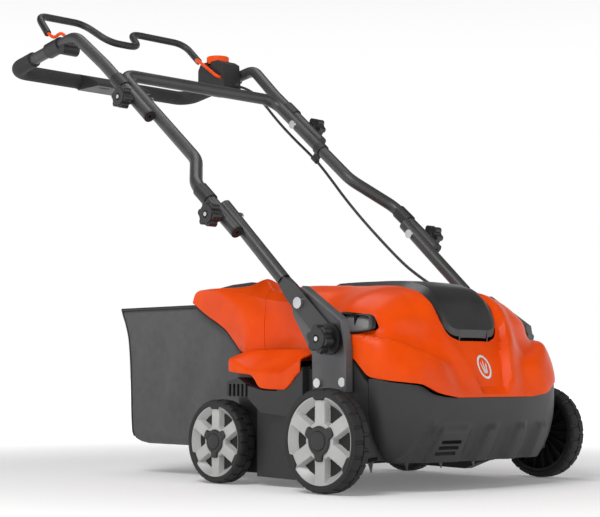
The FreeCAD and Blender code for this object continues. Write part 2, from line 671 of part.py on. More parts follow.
# ---- handle ---------------------------------------------------------------------------------------
def lower_tube(side):
    """One lower handle tube: round above, flattened where it pivots and clamps."""
    start = polar(PIVOT, 62, LOWER_ANGLE)
    end = polar(FOLD_1, 34, LOWER_ANGLE)
    points = [at(side * LOWER_X, *start), at(side * LOWER_X, *end)]
    body = pipe(points, [], TUBE_R, TUBE_R - TUBE_WALL)
    flat_mid = side * (FLAT_X + FLAT_T / 2)
    square = V(0, -math.sin(math.radians(LOWER_ANGLE)), math.cos(math.radians(LOWER_ANGLE)))
    foot = polar(PIVOT, 30, LOWER_ANGLE)
    corners = [at(flat_mid, *foot) + V(dx, 0, 0) + square * d
               for dx, d in ((-FLAT_T / 2, -17), (FLAT_T / 2, -17), (FLAT_T / 2, 17), (-FLAT_T / 2, 17))]
    low = Part.makePolygon(corners + corners[:1])
    r = TUBE_R * 0.98
    corners = [points[0] + V(dx, 0, 0) + square * d for dx, d in ((-r, -r), (r, -r), (r, r), (-r, r))]
    turned = [points[0] + V(math.cos(math.radians(a)) * r, 0, 0) + square * (math.sin(math.radians(a)) * r)
              for a in (225, 315, 45, 135)]
    high = Part.makePolygon(turned + turned[:1])
    neck = Part.makeLoft([low, high], True, True)
    x0, x1 = side * FLAT_X, side * (FLAT_X + FLAT_T)
    spine = [polar(HEIGHT_BOLT, 17, SLOT_REST + 90), polar(HEIGHT_BOLT, 17, SLOT_REST - 90),
             polar(foot, 17, LOWER_ANGLE + 90), polar(foot, 17, LOWER_ANGLE - 90)]
    flat = joined([slab(spine, x0, x1), rod(x0, x1, HEIGHT_BOLT, 17)])
    body = joined([body, neck, flat])
    body = body.cut(rod(side * 235, side * 270, PIVOT, BOLT_R + 1 + RUNNING_FIT))
    body = body.cut(rod(side * 235, side * 270, HEIGHT_BOLT, BOLT_R))
    return body.cut(rod(side * 230, side * 270, FOLD_1, BOLT_R))


def lower_bolts():
    """The height bolts and the first fold bolts."""
    bolts = []
    for side in (-1, 1):
        bolts.append(bolt(side, HEIGHT_BOLT, PLATE_X - BODY_GAP, 291, BOLT_R, 8, 5))
        bolts.append(bolt(side, FOLD_1, LOWER_X - TUBE_R, 319, BOLT_R, 9, 5))
    return bolts


def clamp_discs():
    x = FLAT_X + FLAT_T
    return both(ring(-(x + 5), -x, HEIGHT_BOLT, 27, BOLT_R))


def middle_points(side):
    """The middle tube's route: plug end, jog inwards, crossbar."""
    start = polar(FOLD_1, -47, MIDDLE_ANGLE)
    jog = polar(FOLD_1, 100, MIDDLE_ANGLE)
    after = polar(FOLD_1, 193, MIDDLE_ANGLE)
    top = polar(FOLD_2, 101, MIDDLE_ANGLE)
    return [at(side * MIDDLE_X, *start), at(side * MIDDLE_X, *jog), at(side * UPPER_STEP, *after),
            at(side * UPPER_STEP, *top)]


def middle_tube():
    right, left = middle_points(-1), middle_points(1)
    radii = [60, 60, 34, 34, 60, 60]
    body = pipe(right + left[::-1], radii, TUBE_R, TUBE_R - TUBE_WALL)
    for side in (-1, 1):
        body = body.cut(rod(side * 255, side * 295, FOLD_1, BOLT_R + RUNNING_FIT))
        body = body.cut(rod(side * 195, side * 230, FOLD_2, BOLT_R))
    return body


def plug(end, away):
    """A plastic plug with a flange, closing a tube's open end."""
    stem = Part.makeCylinder(TUBE_R - TUBE_WALL - PRESS, 14, end, away * -1)
    head = Part.makeCylinder(TUBE_R, 4, end, away)
    return stem.fuse(head).cut(Part.makeCylinder(3, 30, end + away * 6, away * -1)).removeSplitter()


def sleeve(side, tube_x, contact_x, fold, near, far):
    """A collar round a tube next to a fold bolt, flat where it faces the other tube."""
    first = at(side * tube_x, *polar(fold, near, MIDDLE_ANGLE))
    last = at(side * tube_x, *polar(fold, far, MIDDLE_ANGLE))
    axis = last - first
    body = Part.makeCylinder(TUBE_R + 2.5, axis.Length, first, axis)
    body = body.cut(Part.makeCylinder(TUBE_R + PRESS, axis.Length, first, axis))
    return body.cut(block(*sorted((side * contact_x, side * (contact_x - 20))), 200, 700, 400, 900))


def clip():
    """The cable clip on the left middle tube: a ring round the tube with a hook for the cable."""
    start = CLIP_TUBE - HANDLE_ALONG * 9
    body = Part.makeCylinder(TUBE_R + 2.5, 18, start, HANDLE_ALONG)
    hook = CLIP_HOLE - HANDLE_ALONG * 9
    body = body.fuse(Part.makeCylinder(CABLE_D / 2 + 2.5, 18, hook, HANDLE_ALONG))
    neck = Part.makeBox(5, CLIP_REACH, 18, V(-2.5, 0, 0))
    turn = FreeCAD.Rotation(V(1, 0, 0), HANDLE_UNDER, HANDLE_ALONG, "XYZ")
    neck.Placement = FreeCAD.Placement(start, turn)
    body = body.fuse(neck)
    body = body.cut(Part.makeCylinder(TUBE_R + PRESS, 20, start - HANDLE_ALONG, HANDLE_ALONG))
    hole = Part.makeCylinder(CABLE_D / 2 + 0.4, 20, hook - HANDLE_ALONG, HANDLE_ALONG)
    return body.cut(hole).removeSplitter()


def middle_fittings():
    away = HANDLE_ALONG * -1
    pieces = []
    for side in (-1, 1):
        pieces.append(plug(middle_points(side)[0], away))
        pieces.append(sleeve(side, MIDDLE_X, MIDDLE_X - TUBE_R - BODY_GAP, FOLD_1, 46, 84))
    return pieces + [clip()]


def middle_bolts():
    return [bolt(side, FOLD_2, UPPER_STEP - TUBE_R, 283, BOLT_R, 9, 5) for side in (-1, 1)]


def upper_points(side):
    """The upper loop's route on one side, from its plug end to the middle of the grip bar."""
    start = polar(FOLD_2, -60, MIDDLE_ANGLE)
    spread = polar(FOLD_2, 130, MIDDLE_ANGLE)
    return [at(side * UPPER_X, *start), at(side * UPPER_X, *spread),
            at(side * (LOOP_HALF_W + 4), *LOOP_TOP), at(side * LOOP_HALF_W, GRIP_Y, GRIP_Z)]


def upper_tube():
    right, left = upper_points(-1), upper_points(1)
    radii = [150, 42, 36, 36, 42, 150]
    body = pipe(right + left[::-1], radii, TUBE_R, TUBE_R - TUBE_WALL)
    for side in (-1, 1):
        body = body.cut(rod(side * (UPPER_X - 20), side * (UPPER_X + 20), FOLD_2,
                            BOLT_R + RUNNING_FIT))
    return body


def grip(side):
    """The foam grip round one rear corner of the loop."""
    corner, top = upper_points(side)[3], upper_points(side)[2]
    forward = corner + (top - corner).normalize() * (GRIP_SIDE + 34)
    points = [forward, corner, V(side * GRIP_INNER_X, corner.y, corner.z)]
    return pipe(points, [36], GRIP_R, TUBE_R + PRESS)


def grip_bracket():
    """The moulded bracket at the middle of the grip bar, with its slotted underside plate."""
    half = GRIP_INNER_X - 0.5
    bar = (GRIP_Y, GRIP_Z)
    outline = [(GRIP_Y - 4, GRIP_Z + 16), (GRIP_Y - 40, GRIP_Z + 6), (GRIP_Y - 78, GRIP_Z - 14),
               (GRIP_Y - 78, GRIP_Z - 20), (GRIP_Y, GRIP_Z - 20)]
    body = slab(outline, -half, half).fuse(rod(-half, half, bar, GRIP_R + 0.5))
    body = body.cut(rod(-half - 1, half + 1, bar, TUBE_R + PRESS))
    hollow = [(GRIP_Y - 22, GRIP_Z + 6), (GRIP_Y - 40, GRIP_Z + 1), (GRIP_Y - 70, GRIP_Z - 16),
              (GRIP_Y - 22, GRIP_Z - 16)]
    body = body.cut(slab(hollow, -half + 4, half - 4))
    slots = [block(x - 14, x + 14, GRIP_Y - 62, GRIP_Y - 56, GRIP_Z - 21, GRIP_Z - 15)
             for x in (-45, 0, 45)]
    return body.cut(Part.makeCompound(slots))


def loop_axis(side):
    """Start, direction and length of the loop's side tube between its top bend and its grip."""
    points = upper_points(side)
    return points[2], (points[3] - points[2]).normalize()


def bail_hub():
    """The clamp on the right tube that carries the bail's end."""
    start, along = loop_axis(-1)
    first = start + along * 52
    body = Part.makeCylinder(TUBE_R + 4, 46, first, along)
    pod = rod(-262, -222, BAIL_AXIS, 13)
    body = body.fuse(pod).cut(Part.makeCylinder(TUBE_R + PRESS, 100, first - along * 40, along))
    body = body.cut(rod(-242, -221, BAIL_AXIS, LINK_R + RUNNING_FIT))
    return body.removeSplitter()


def control_box():
    """The switch box on the left tube, with a pocket for the start button and the bail's bore."""
    outline = [(800, 850), (806, 912), (822, BOX_TOP_Z), (882, BOX_TOP_Z), (892, 905),
               (892, 868), (872, 846), (812, 840)]
    body = slab(outline, *BOX_X)
    start, along = loop_axis(1)
    first = start + along * 56
    body = body.fuse(Part.makeCylinder(TUBE_R + 4, 40, first, along))
    body = body.cut(Part.makeCylinder(TUBE_R + PRESS, 80, first - along * 20, along))
    x, y = BUTTON_XY
    pocket = Part.makeCylinder(BUTTON_R + BODY_GAP, 30, at(x, y, BOX_TOP_Z - 8))
    bore = Part.makeCylinder(6 + BODY_GAP, 40, at(x, y, BOX_TOP_Z - 30))
    body = body.cut(pocket).cut(bore)
    body = body.cut(rod(BOX_X[0] - 1, BOX_X[0] + 22, BAIL_AXIS, LINK_R + RUNNING_FIT))
    body = body.fuse(Part.makeCone(7, 4.5, 16, CABLE_EXIT - CABLE_OUT * 16, CABLE_OUT))
    return body.removeSplitter()


def start_button():
    x, y = BUTTON_XY
    low = BOX_TOP_Z - 8 + BUTTON_TRAVEL + BODY_GAP
    cap = Part.makeCylinder(BUTTON_R, 18, at(x, y, low))
    cap = cap.makeFillet(2.5, [e for e in cap.Edges if e.BoundBox.ZMin > low + 17])
    return cap.fuse(Part.makeCylinder(6, 12, at(x, y, low - 12))).removeSplitter()


def upper_fittings():
    away = HANDLE_ALONG * -1
    pieces = []
    for side in (-1, 1):
        pieces.append(plug(upper_points(side)[0], away))
        pieces.append(sleeve(side, UPPER_X, UPPER_X - TUBE_R - BODY_GAP, FOLD_2, 42, 78))
    return pieces


def bail():
    """The bail: a bent bar across the grip, with a thin bent link down to each pivot."""
    route = [(-216, 928, 936), (-210, 978, 986), (-68, 1004, 994), (-42, 938, 946),
             (42, 938, 946), (68, 1004, 994), (210, 978, 986), (216, 928, 936)]
    radii = [22, 30, 26, 26, 30, 22]
    bar = swept([at(*p) for p in route], radii, BAIL_R)
    right = [(-216, 934, 942), (-216, 906, 922), (-216, 880, 932), (-216, 846, 906),
             (-216, *BAIL_AXIS), (-240, *BAIL_AXIS)]
    left = [(216, 934, 942), (200, 912, 926), (174, 892, 934), (174, 852, 906),
            (174, *BAIL_AXIS), (BOX_X[0] + 18, *BAIL_AXIS)]
    links = [swept([at(*p) for p in points], [7, 7, 9, 5], LINK_R) for points in (right, left)]
    return joined([bar] + links)


# ---- star knobs -----------------------------------------------------------------------------------
def knob(side, inner_x, outer_x, place, radius):
    """A star knob with a collar, free to turn on its bolt."""
    collar = rod(side * inner_x, side * (inner_x + 9), place, radius * 0.55)
    head = [rod(side * (inner_x + 8), side * outer_x, place, radius * 0.74)]
    for i in range(6):
        head.append(rod(side * (inner_x + 10), side * (outer_x - 1.5),
                        polar(place, radius * 0.72, 60 * i + 15), radius * 0.28))
    body = joined([collar] + head)
    body = body.cut(rod(side * (inner_x - 1), side * (outer_x + 5), place, BOLT_R + RUNNING_FIT))
    return body.cut(rod(side * (outer_x - 3), side * (outer_x + 1), place, 7))


# ---- flap and collector ---------------------------------------------------------------------------
def flap():
    """The orange rear flap: a lofted roof with side skirts that rise towards the rear."""
    stations = [
        (FLAP_Y, FLAP_HALF_W, 238.0, HOOD_CROWN_Z + 5, 4.5),
        (FLAP_Y + 40, FLAP_HALF_W + 1, 238.0, HOOD_CROWN_Z + 9, 4.5),
        (FLAP_Y + 85, FLAP_HALF_W + 1, 258.0, HOOD_CROWN_Z + 7, 4.5),
        (FLAP_Y + 130, FLAP_HALF_W, 288.0, HOOD_CROWN_Z + 3, 4.5),
        (FLAP_Y + 174, FLAP_HALF_W - 1, 309.0, HOOD_CROWN_Z - 2, 4.5),
        (FLAP_END_Y, FLAP_HALF_W - 2, 322.0, HOOD_CROWN_Z - 10, 4.5),
    ]
    body = arch_shell(stations, COVER_WALL)
    y, z = FLAP_AXIS
    lugs, bores = [], []
    for side in (-1, 1):
        x0, x1 = side * (FLAP_EAR_X - 7), side * (FLAP_EAR_X - 1)
        lugs.append(rod(x0, x1, FLAP_AXIS, 5))
        lugs.append(slab([(y - 5, z), (y - 5, z + 9), (y + 5, z + 9), (y + 5, z)], x0, x1))
        bores.append(rod(x0 - side, x1 + side, FLAP_AXIS, PIN_R + RUNNING_FIT))
    return joined([body] + lugs).cut(Part.makeCompound(bores))


def bag():
    """The collector bag: a closed fabric box with its mouth at the front."""
    body = slab(BAG_SIDE, -BAG_HALF_W, BAG_HALF_W)
    middle = (480.0, 195.0)
    inner = [(314 - 1 if y == 314 else y + math.copysign(BAG_WALL, middle[0] - y),
              z + math.copysign(BAG_WALL, middle[1] - z)) for y, z in BAG_SIDE]
    return body.cut(slab(inner, -BAG_HALF_W + BAG_WALL, BAG_HALF_W - BAG_WALL))


def bag_frame():
    """The stiff frame round the bag's mouth, and the carrying handle on the bag's top."""
    outer = block(-BAG_HALF_W, BAG_HALF_W, 304, 313.5, 66, 314)
    frame = outer.cut(block(-BAG_HALF_W + 14, BAG_HALF_W - 14, 303, 314.5, 80, 300))
    top = 328.3
    arch = [(480, top), (480, 372), (490, 384), (548, 381), (600, 374), (612, 360), (612, top),
            (600, top), (597, 363), (546, 369), (496, 372), (492, 366), (492, top)]
    return frame, slab(arch, -15, 15)


# ---- power cable ----------------------------------------------------------------------------------
HANDLE_ALONG = V(0, math.cos(math.radians(MIDDLE_ANGLE)), math.sin(math.radians(MIDDLE_ANGLE)))
HANDLE_UNDER = V(0, HANDLE_ALONG.z, -HANDLE_ALONG.y)
CLIP_TUBE = at(UPPER_STEP, *polar(FOLD_2, -CLIP_DOWN, MIDDLE_ANGLE))
CLIP_HOLE = CLIP_TUBE + HANDLE_UNDER * CLIP_REACH
CABLE_EXIT = at(222, 793, 860)
CABLE_OUT = V(0, -1, -0.3).normalize()
CABLE_UPPER = [CABLE_EXIT, CABLE_EXIT + CABLE_OUT * 38, at(223, 712, 812), at(222, 665, 765),
               at(220, 612, 720), CLIP_HOLE + HANDLE_ALONG * 24, CLIP_HOLE]
CABLE_LOWER = [CLIP_HOLE, CLIP_HOLE - HANDLE_ALONG * 26, at(205, 414, 543), at(198, 278, 428),
               at(195, 222, 392), at(191, 168, 364), at(188, 126, 334), at(184, 92, 288)]


def cable(points):
    """A length of cable, its runs joined by the largest arcs that they allow."""
    radii = cord_radii(points)
    print("cable arcs:", [round(r) for r in radii])
    return swept(points, radii, CABLE_D / 2)


def main():
    os.makedirs("parts", exist_ok=True)
    save("lower_housing", deck())
    for side, name in ((-1, "right"), (1, "left")):
        save("side_casing_" + name, casing(side))
        save("bracket_" + name, bracket(side))
        save("lower_tube_" + name, lower_tube(side))
        save("grip_" + name, grip(side))
        save("height_knob_" + name, knob(side, FLAT_X + FLAT_T + 5 + BODY_GAP, 290, HEIGHT_BOLT, 25))
        save("fold_knob_lower_" + name, knob(side, MIDDLE_X + TUBE_R + BODY_GAP, 318, FOLD_1, 23))
        save("fold_knob_upper_" + name, knob(side, UPPER_X + TUBE_R + BODY_GAP, 282, FOLD_2, 23))
        wheel(side, FRONT_WHEEL_OUTER_X, FRONT_AXLE, FRONT_WHEEL_D, "front_" + name)
        wheel(side, REAR_WHEEL_OUTER_X, REAR_AXLE, REAR_WHEEL_D, "rear_" + name)
    save("side_covers", shelf(-1), shelf(1))
    save("front_apron", apron())
    save("top_cover", hood())
    save("battery_lid", lid())
    save("side_grips", window_frame(-1), window_frame(1))
    save("battery_bay", battery_bay())
    save("battery_pack", battery())
    save("bracket_bolts", *bracket_bolts())
    save("wheel_axles", *axles())
    save("rotor_shaft", rotor_shaft())
    save("rotor_bearings", *bearings())
    save("rotor_tines", *tines())
    save("rotor_pulley", pulley(ROTOR, ROTOR_PULLEY_R, SHAFT_R))
    save("drive_belt", belt())
    save("motor", motor())
    save("motor_pulley", motor_pulley())
    save("handle_bolts_lower", *lower_bolts())
    save("clamp_discs", *clamp_discs())
    save("middle_tube", middle_tube())
    save("middle_fittings", *middle_fittings())
    save("handle_bolts_upper", *middle_bolts())
    save("upper_tube", upper_tube())
    save("upper_fittings", *upper_fittings())
    save("grip_bracket", grip_bracket())
    save("bail_hub", bail_hub())
    save("control_box", control_box())
    save("start_button", start_button())
    save("cable_upper", cable(CABLE_UPPER))
    save("cable_lower", cable(CABLE_LOWER))
    save("bail_bar", bail())
    save("rear_flap", flap())
    save("collector_bag", bag())
    save("collector_frame", *bag_frame())


if __name__ == "__main__":
    main()
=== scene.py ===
"""A walk-behind lawn scarifier: looks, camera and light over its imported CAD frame."""

import json
import logging
import math
from collections.abc import Callable, Iterable, Sequence
from dataclasses import dataclass, field
from enum import Enum

import bmesh
import bpy
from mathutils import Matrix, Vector


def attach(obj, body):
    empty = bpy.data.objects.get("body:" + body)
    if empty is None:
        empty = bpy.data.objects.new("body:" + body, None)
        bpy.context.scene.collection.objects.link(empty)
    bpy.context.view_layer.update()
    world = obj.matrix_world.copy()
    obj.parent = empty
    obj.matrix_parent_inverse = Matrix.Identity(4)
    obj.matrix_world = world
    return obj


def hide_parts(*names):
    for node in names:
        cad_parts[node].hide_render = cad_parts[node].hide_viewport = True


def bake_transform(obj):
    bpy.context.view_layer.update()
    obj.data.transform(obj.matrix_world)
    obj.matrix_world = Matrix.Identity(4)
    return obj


log = logging.getLogger("scarifier")
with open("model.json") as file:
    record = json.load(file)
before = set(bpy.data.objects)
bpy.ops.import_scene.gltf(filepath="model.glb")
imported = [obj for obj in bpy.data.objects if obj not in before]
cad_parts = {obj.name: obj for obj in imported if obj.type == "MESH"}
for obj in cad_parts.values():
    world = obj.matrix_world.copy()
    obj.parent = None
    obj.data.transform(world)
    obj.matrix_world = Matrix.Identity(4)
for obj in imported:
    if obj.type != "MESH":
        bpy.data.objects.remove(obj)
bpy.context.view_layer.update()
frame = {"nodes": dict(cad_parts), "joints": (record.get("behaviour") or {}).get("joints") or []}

MM = 0.001
JOINTS = {joint["name"]: joint for joint in frame["joints"]}
AXLE_Y = JOINTS["wheel_front_left_spin"]["pos_m"][1] / MM

Pair = tuple[float, float]
Triple = tuple[float, float, float]


def at(x: float, y: float, z: float) -> Vector:
    """Gives a place in the frame, in metres.

    Args:
        x: Millimetres from the plane of symmetry.
        y: Millimetres behind the front axle.
        z: Millimetres above the ground.

    Returns:
        The place in the row frame.
    """
    return Vector((x, y + AXLE_Y, z)) * MM


def joint_place(name: str) -> Pair:
    """Gives a joint's (y, z) place in millimetres, y from the front axle.

    Args:
        name: The joint's name in the record.

    Returns:
        The pair (y, z).
    """
    spot = JOINTS[name]["pos_m"]
    return spot[1] / MM - AXLE_Y, spot[2] / MM


def mix(low: float, high: float, share: float) -> float:
    """Blends two numbers by a share from 0 to 1."""
    return low + (high - low) * share


def ramp(value: float, low: float, high: float) -> float:
    """Rises smoothly from 0 at low to 1 at high."""
    t = min(1.0, max(0.0, (value - low) / (high - low)))
    return t * t * (3 - 2 * t)


def table(value: float, rows: Sequence[Pair]) -> float:
    """Reads a smooth line through (where, height) rows.

    Args:
        value: Where to read.
        rows: The rows in rising order of where.

    Returns:
        The height, held level outside the rows.
    """
    if value <= rows[0][0]:
        return rows[0][1]
    for i in range(len(rows) - 1):
        (x0, y0), (x1, y1) = rows[i], rows[i + 1]
        if value <= x1:
            before = rows[i - 1] if i else rows[0]
            after = rows[i + 2] if i + 2 < len(rows) else rows[-1]
            run = x1 - x0
            m0 = _slope(before, rows[i], rows[i + 1])
            m1 = _slope(rows[i], rows[i + 1], after)
            t = (value - x0) / run
            return ((1 + 2 * t) * (1 - t) ** 2 * y0 + t * (1 - t) ** 2 * run * m0
                    + t * t * (3 - 2 * t) * y1 + t * t * (t - 1) * run * m1)
    return rows[-1][1]


def _slope(before: Pair, here: Pair, after: Pair) -> float:
    """Gives a row's slope for table(), level where the line turns back."""
    if here == before:
        return (after[1] - here[1]) / (after[0] - here[0])
    if here == after:
        return (here[1] - before[1]) / (here[0] - before[0])
    first = (here[1] - before[1]) / (here[0] - before[0])
    last = (after[1] - here[1]) / (after[0] - here[0])
    return 0.0 if first * last <= 0 else 2 * first * last / (first + last)


# ---- finishes ---------------------------------------------------------------------------------
def linear(hex_colour: str) -> tuple[float, float, float, float]:
    """Turns an sRGB hex value into linear colour with full alpha.

    Args:
        hex_colour: Six hex digits with a leading hash.

    Returns:
        Linear red, green, blue and alpha.
    """
    parts = [int(hex_colour[i:i + 2], 16) / 255 for i in (1, 3, 5)]
    bent = [c / 12.92 if c <= 0.04045 else ((c + 0.055) / 1.055) ** 2.4 for c in parts]
    return bent[0], bent[1], bent[2], 1.0


def add_node(tree: bpy.types.NodeTree, kind: str, settings: dict | None = None,
             links: dict | None = None) -> bpy.types.Node:
    """Adds a node to a tree with its settings and the links into it.

    Args:
        tree: The node tree.
        kind: The node's type.
        settings: Input values by socket name or number, and plain properties by "." and name.
        links: Sockets that feed the node's inputs, by socket name or number.

    Returns:
        The new node.
    """
    node = tree.nodes.new(kind)
    for key, value in (settings or {}).items():
        if isinstance(key, str) and key.startswith("."):
            setattr(node, key[1:], value)
        else:
            node.inputs[key].default_value = value
    for key, source in (links or {}).items():
        tree.links.new(source, node.inputs[key])
    return node


def empty_material(name: str) -> tuple[bpy.types.Material, bpy.types.NodeTree]:
    """Makes a material whose node tree is still empty, and gives both."""
    material = bpy.data.materials.new(name)
    material.use_nodes = True
    material.node_tree.nodes.clear()
    return material, material.node_tree


class Grain(Enum):
    """How a surface was made, which gives its fine relief."""

    SPARK_ERODED = "spark eroded mould"
    POLISHED = "polished mould"
    POWDER = "powder coat"
    ROLLED = "rolled sheet"
    FOAM = "closed-cell foam"


@dataclass(frozen=True)
class Finish:
    """A solid finish: one base colour with real variation, gloss and relief."""

    name: str
    colour: str
    deep: str
    grain: Grain
    roughness: float
    metallic: float = 0.0
    coat: float = 0.0
    relief_mm: float = 0.9
    depth_mm: float = 0.02
    blotch_mm: float = 60.0
    specular: float = 0.5

    def build(self) -> bpy.types.Material:
        """Makes the material, or gives the one already made.

        Returns:
            The Blender material.
        """
        if self.name in bpy.data.materials:
            return bpy.data.materials[self.name]
        material, tree = empty_material(self.name)
        where = add_node(tree, "ShaderNodeTexCoord").outputs["Object"]
        blotch = add_node(tree, "ShaderNodeTexNoise",
                          {"Scale": 1 / (self.blotch_mm * MM), "Detail": 3.0},
                          {"Vector": where}).outputs["Fac"]
        colour = add_node(tree, "ShaderNodeMix",
                          {".data_type": "RGBA", 6: linear(self.deep), 7: linear(self.colour)},
                          {0: self._contrast(tree, blotch, 0.35, 0.62)}).outputs[2]
        relief = self._relief(tree, where)
        rough = add_node(tree, "ShaderNodeMapRange",
                         {"From Min": 0.3, "From Max": 0.7, "To Min": self.roughness - 0.05,
                          "To Max": self.roughness + 0.05}, {"Value": blotch}).outputs["Result"]
        bump = add_node(tree, "ShaderNodeBump",
                        {"Strength": 1.0, "Distance": self.depth_mm * MM},
                        {"Height": relief}).outputs["Normal"]
        shader = add_node(tree, "ShaderNodeBsdfPrincipled",
                          {"Metallic": self.metallic, "Coat Weight": self.coat,
                           "Coat Roughness": 0.25, "Specular IOR Level": self.specular},
                          {"Base Color": colour, "Roughness": rough, "Normal": bump})
        add_node(tree, "ShaderNodeOutputMaterial", {}, {"Surface": shader.outputs["BSDF"]})
        return material

    def _contrast(self, tree: bpy.types.NodeTree, source: bpy.types.NodeSocket,
                  low: float, high: float) -> bpy.types.NodeSocket:
        """Stretches a noise between two values to the range 0 to 1."""
        return add_node(tree, "ShaderNodeMapRange", {"From Min": low, "From Max": high},
                        {"Value": source}).outputs["Result"]

    def _relief(self, tree: bpy.types.NodeTree, where: bpy.types.NodeSocket
                ) -> bpy.types.NodeSocket:
        """Builds the height pattern of the way the surface was made.

        Args:
            tree: The node tree.
            where: The surface's coordinates in metres.

        Returns:
            The height socket.
        """
        scale = 1 / (self.relief_mm * MM)
        if self.grain in (Grain.FOAM, Grain.SPARK_ERODED):
            cells = add_node(tree, "ShaderNodeTexVoronoi", {"Scale": scale}, {"Vector": where})
            return cells.outputs["Distance"]
        if self.grain is Grain.ROLLED:
            stretched = add_node(tree, "ShaderNodeVectorMath",
                                 {".operation": "MULTIPLY", 1: (1.0, 0.12, 1.0)}, {0: where})
            return add_node(tree, "ShaderNodeTexNoise", {"Scale": scale, "Detail": 2.0},
                            {"Vector": stretched.outputs["Vector"]}).outputs["Fac"]
        return add_node(tree, "ShaderNodeTexNoise", {"Scale": scale, "Detail": 2.0},
                        {"Vector": where}).outputs["Fac"]


@dataclass(frozen=True)
class WovenBag:
    """Coated polyester weave: matt, with crossed threads and soft creases."""

    name: str = "woven_polyester"
    colour: str = "#525253"
    deep: str = "#4A4A4B"
    thread_mm: float = 1.6  # real threads are about 0.5 mm apart and would not show

    def build(self) -> bpy.types.Material:
        """Makes the material, or gives the one already made.

        Returns:
            The Blender material.
        """
        if self.name in bpy.data.materials:
            return bpy.data.materials[self.name]
        material, tree = empty_material(self.name)
        where = add_node(tree, "ShaderNodeTexCoord").outputs["Object"]
        parts = add_node(tree, "ShaderNodeSeparateXYZ", {}, {0: where})
        across = add_node(tree, "ShaderNodeMath", {".operation": "ADD"},
                          {0: parts.outputs["X"], 1: parts.outputs["Y"]}).outputs[0]
        waves = []
        for source in (across, parts.outputs["Z"]):
            turn = add_node(tree, "ShaderNodeMath",
                            {".operation": "MULTIPLY", 1: math.tau / (2 * self.thread_mm * MM)},
                            {0: source}).outputs[0]
            waves.append(add_node(tree, "ShaderNodeMath", {".operation": "SINE"},
                                  {0: turn}).outputs[0])
        weave = add_node(tree, "ShaderNodeMath", {".operation": "MULTIPLY"},
                         {0: waves[0], 1: waves[1]}).outputs[0]
        cloud = add_node(tree, "ShaderNodeTexNoise", {"Scale": 60.0, "Detail": 5.0},
                         {"Vector": where}).outputs["Fac"]
        tone = add_node(tree, "ShaderNodeMath", {".operation": "MULTIPLY_ADD", 1: 0.14, 2: 0.0},
                        {0: weave}).outputs[0]
        tone = add_node(tree, "ShaderNodeMath", {".operation": "ADD"},
                        {0: tone, 1: cloud}).outputs[0]
        share = add_node(tree, "ShaderNodeMapRange", {"From Min": 0.3, "From Max": 0.7},
                         {"Value": tone}).outputs["Result"]
        colour = add_node(tree, "ShaderNodeMix",
                          {".data_type": "RGBA", 6: linear(self.deep), 7: linear(self.colour)},
                          {0: share}).outputs[2]
        bump = add_node(tree, "ShaderNodeBump", {"Strength": 1.0, "Distance": 0.0002},
                        {"Height": weave}).outputs["Normal"]
        shader = add_node(tree, "ShaderNodeBsdfPrincipled",
                          {"Roughness": 0.85, "Sheen Weight": 0.15},
                          {"Base Color": colour, "Normal": bump})
        add_node(tree, "ShaderNodeOutputMaterial", {}, {"Surface": shader.outputs["BSDF"]})
        return material


# Polypropylene with orange pigment, from a mould of fine spark-eroded steel: even, half gloss.
ORANGE = Finish("moulded_orange_polypropylene", "#E94C00", "#DF4500", Grain.SPARK_ERODED,
                0.36, coat=0.0, specular=0.16, relief_mm=1.1, depth_mm=0.006)
# Polypropylene with carbon black, coarser mould grain: dull, with a soft broad highlight.
DARK = Finish("moulded_dark_polypropylene", "#2A2A2B", "#242425", Grain.SPARK_ERODED,
              0.5, relief_mm=1.2, depth_mm=0.012)
# The battery lid's harder plastic from a finer mould: darker, with a clearer highlight.
LID = Finish("moulded_lid_abs", "#2A2A2B", "#232324", Grain.POLISHED, 0.38, coat=0.15,
             relief_mm=0.8, depth_mm=0.004)
# Glass-filled nylon for small fittings: nearly black and dull.
BLACK = Finish("moulded_black_nylon", "#1F1F20", "#19191A", Grain.SPARK_ERODED, 0.5,
               relief_mm=0.9, depth_mm=0.01)
# Star knobs of the same nylon, a little lighter and glossier; the hub caps wear it too.
KNOB = Finish("moulded_knob_nylon", "#262627", "#1F1F20", Grain.SPARK_ERODED, 0.45,
              relief_mm=0.9, depth_mm=0.01)
# Polypropylene window inserts, moulded mid grey.
GREY = Finish("moulded_grey_polypropylene", "#7C7C7D", "#717172", Grain.SPARK_ERODED, 0.45)
# Silver-pigmented polypropylene rims: metal flakes in plastic, so only half metallic.
SILVER = Finish("moulded_silver_rim", "#B8B8B7", "#AEAEAD", Grain.POLISHED, 0.42, metallic=0.15,
                relief_mm=0.7, depth_mm=0.004)
# Styrene-butadiene rubber tyre: black, dry and rough.
RUBBER = Finish("moulded_tyre_rubber", "#181818", "#121212", Grain.SPARK_ERODED, 0.68,
                relief_mm=1.3, depth_mm=0.03)
# Lighter, slightly less rough sidewall of the same rubber.
SIDEWALL = Finish("moulded_tyre_sidewall", "#242424", "#1D1D1D", Grain.SPARK_ERODED, 0.62,
                  relief_mm=1.3, depth_mm=0.02)
# Steel tube with dark grey powder coat: satin, with a faint orange-peel surface.
TUBE = Finish("powder_coated_steel_tube", "#3F3F40", "#39393A", Grain.POWDER, 0.4, metallic=0.2,
              relief_mm=2.0, depth_mm=0.003)
# Cold-rolled sheet with grey zinc coat: dull metal with faint rolling lines.
PLATE = Finish("zinc_coated_steel_sheet", "#5A5A5C", "#515153", Grain.ROLLED, 0.45,
               metallic=0.2, relief_mm=1.0, depth_mm=0.008)
# Bright zinc-plated fasteners.
BOLT = Finish("zinc_plated_steel", "#D2D2D2", "#BEBEC0", Grain.POLISHED, 0.25, metallic=0.9,
              relief_mm=0.8, depth_mm=0.004)
# Turned or hardened spring steel.
STEEL = Finish("spring_steel", "#9A9A9C", "#858587", Grain.ROLLED, 0.32, metallic=0.9)
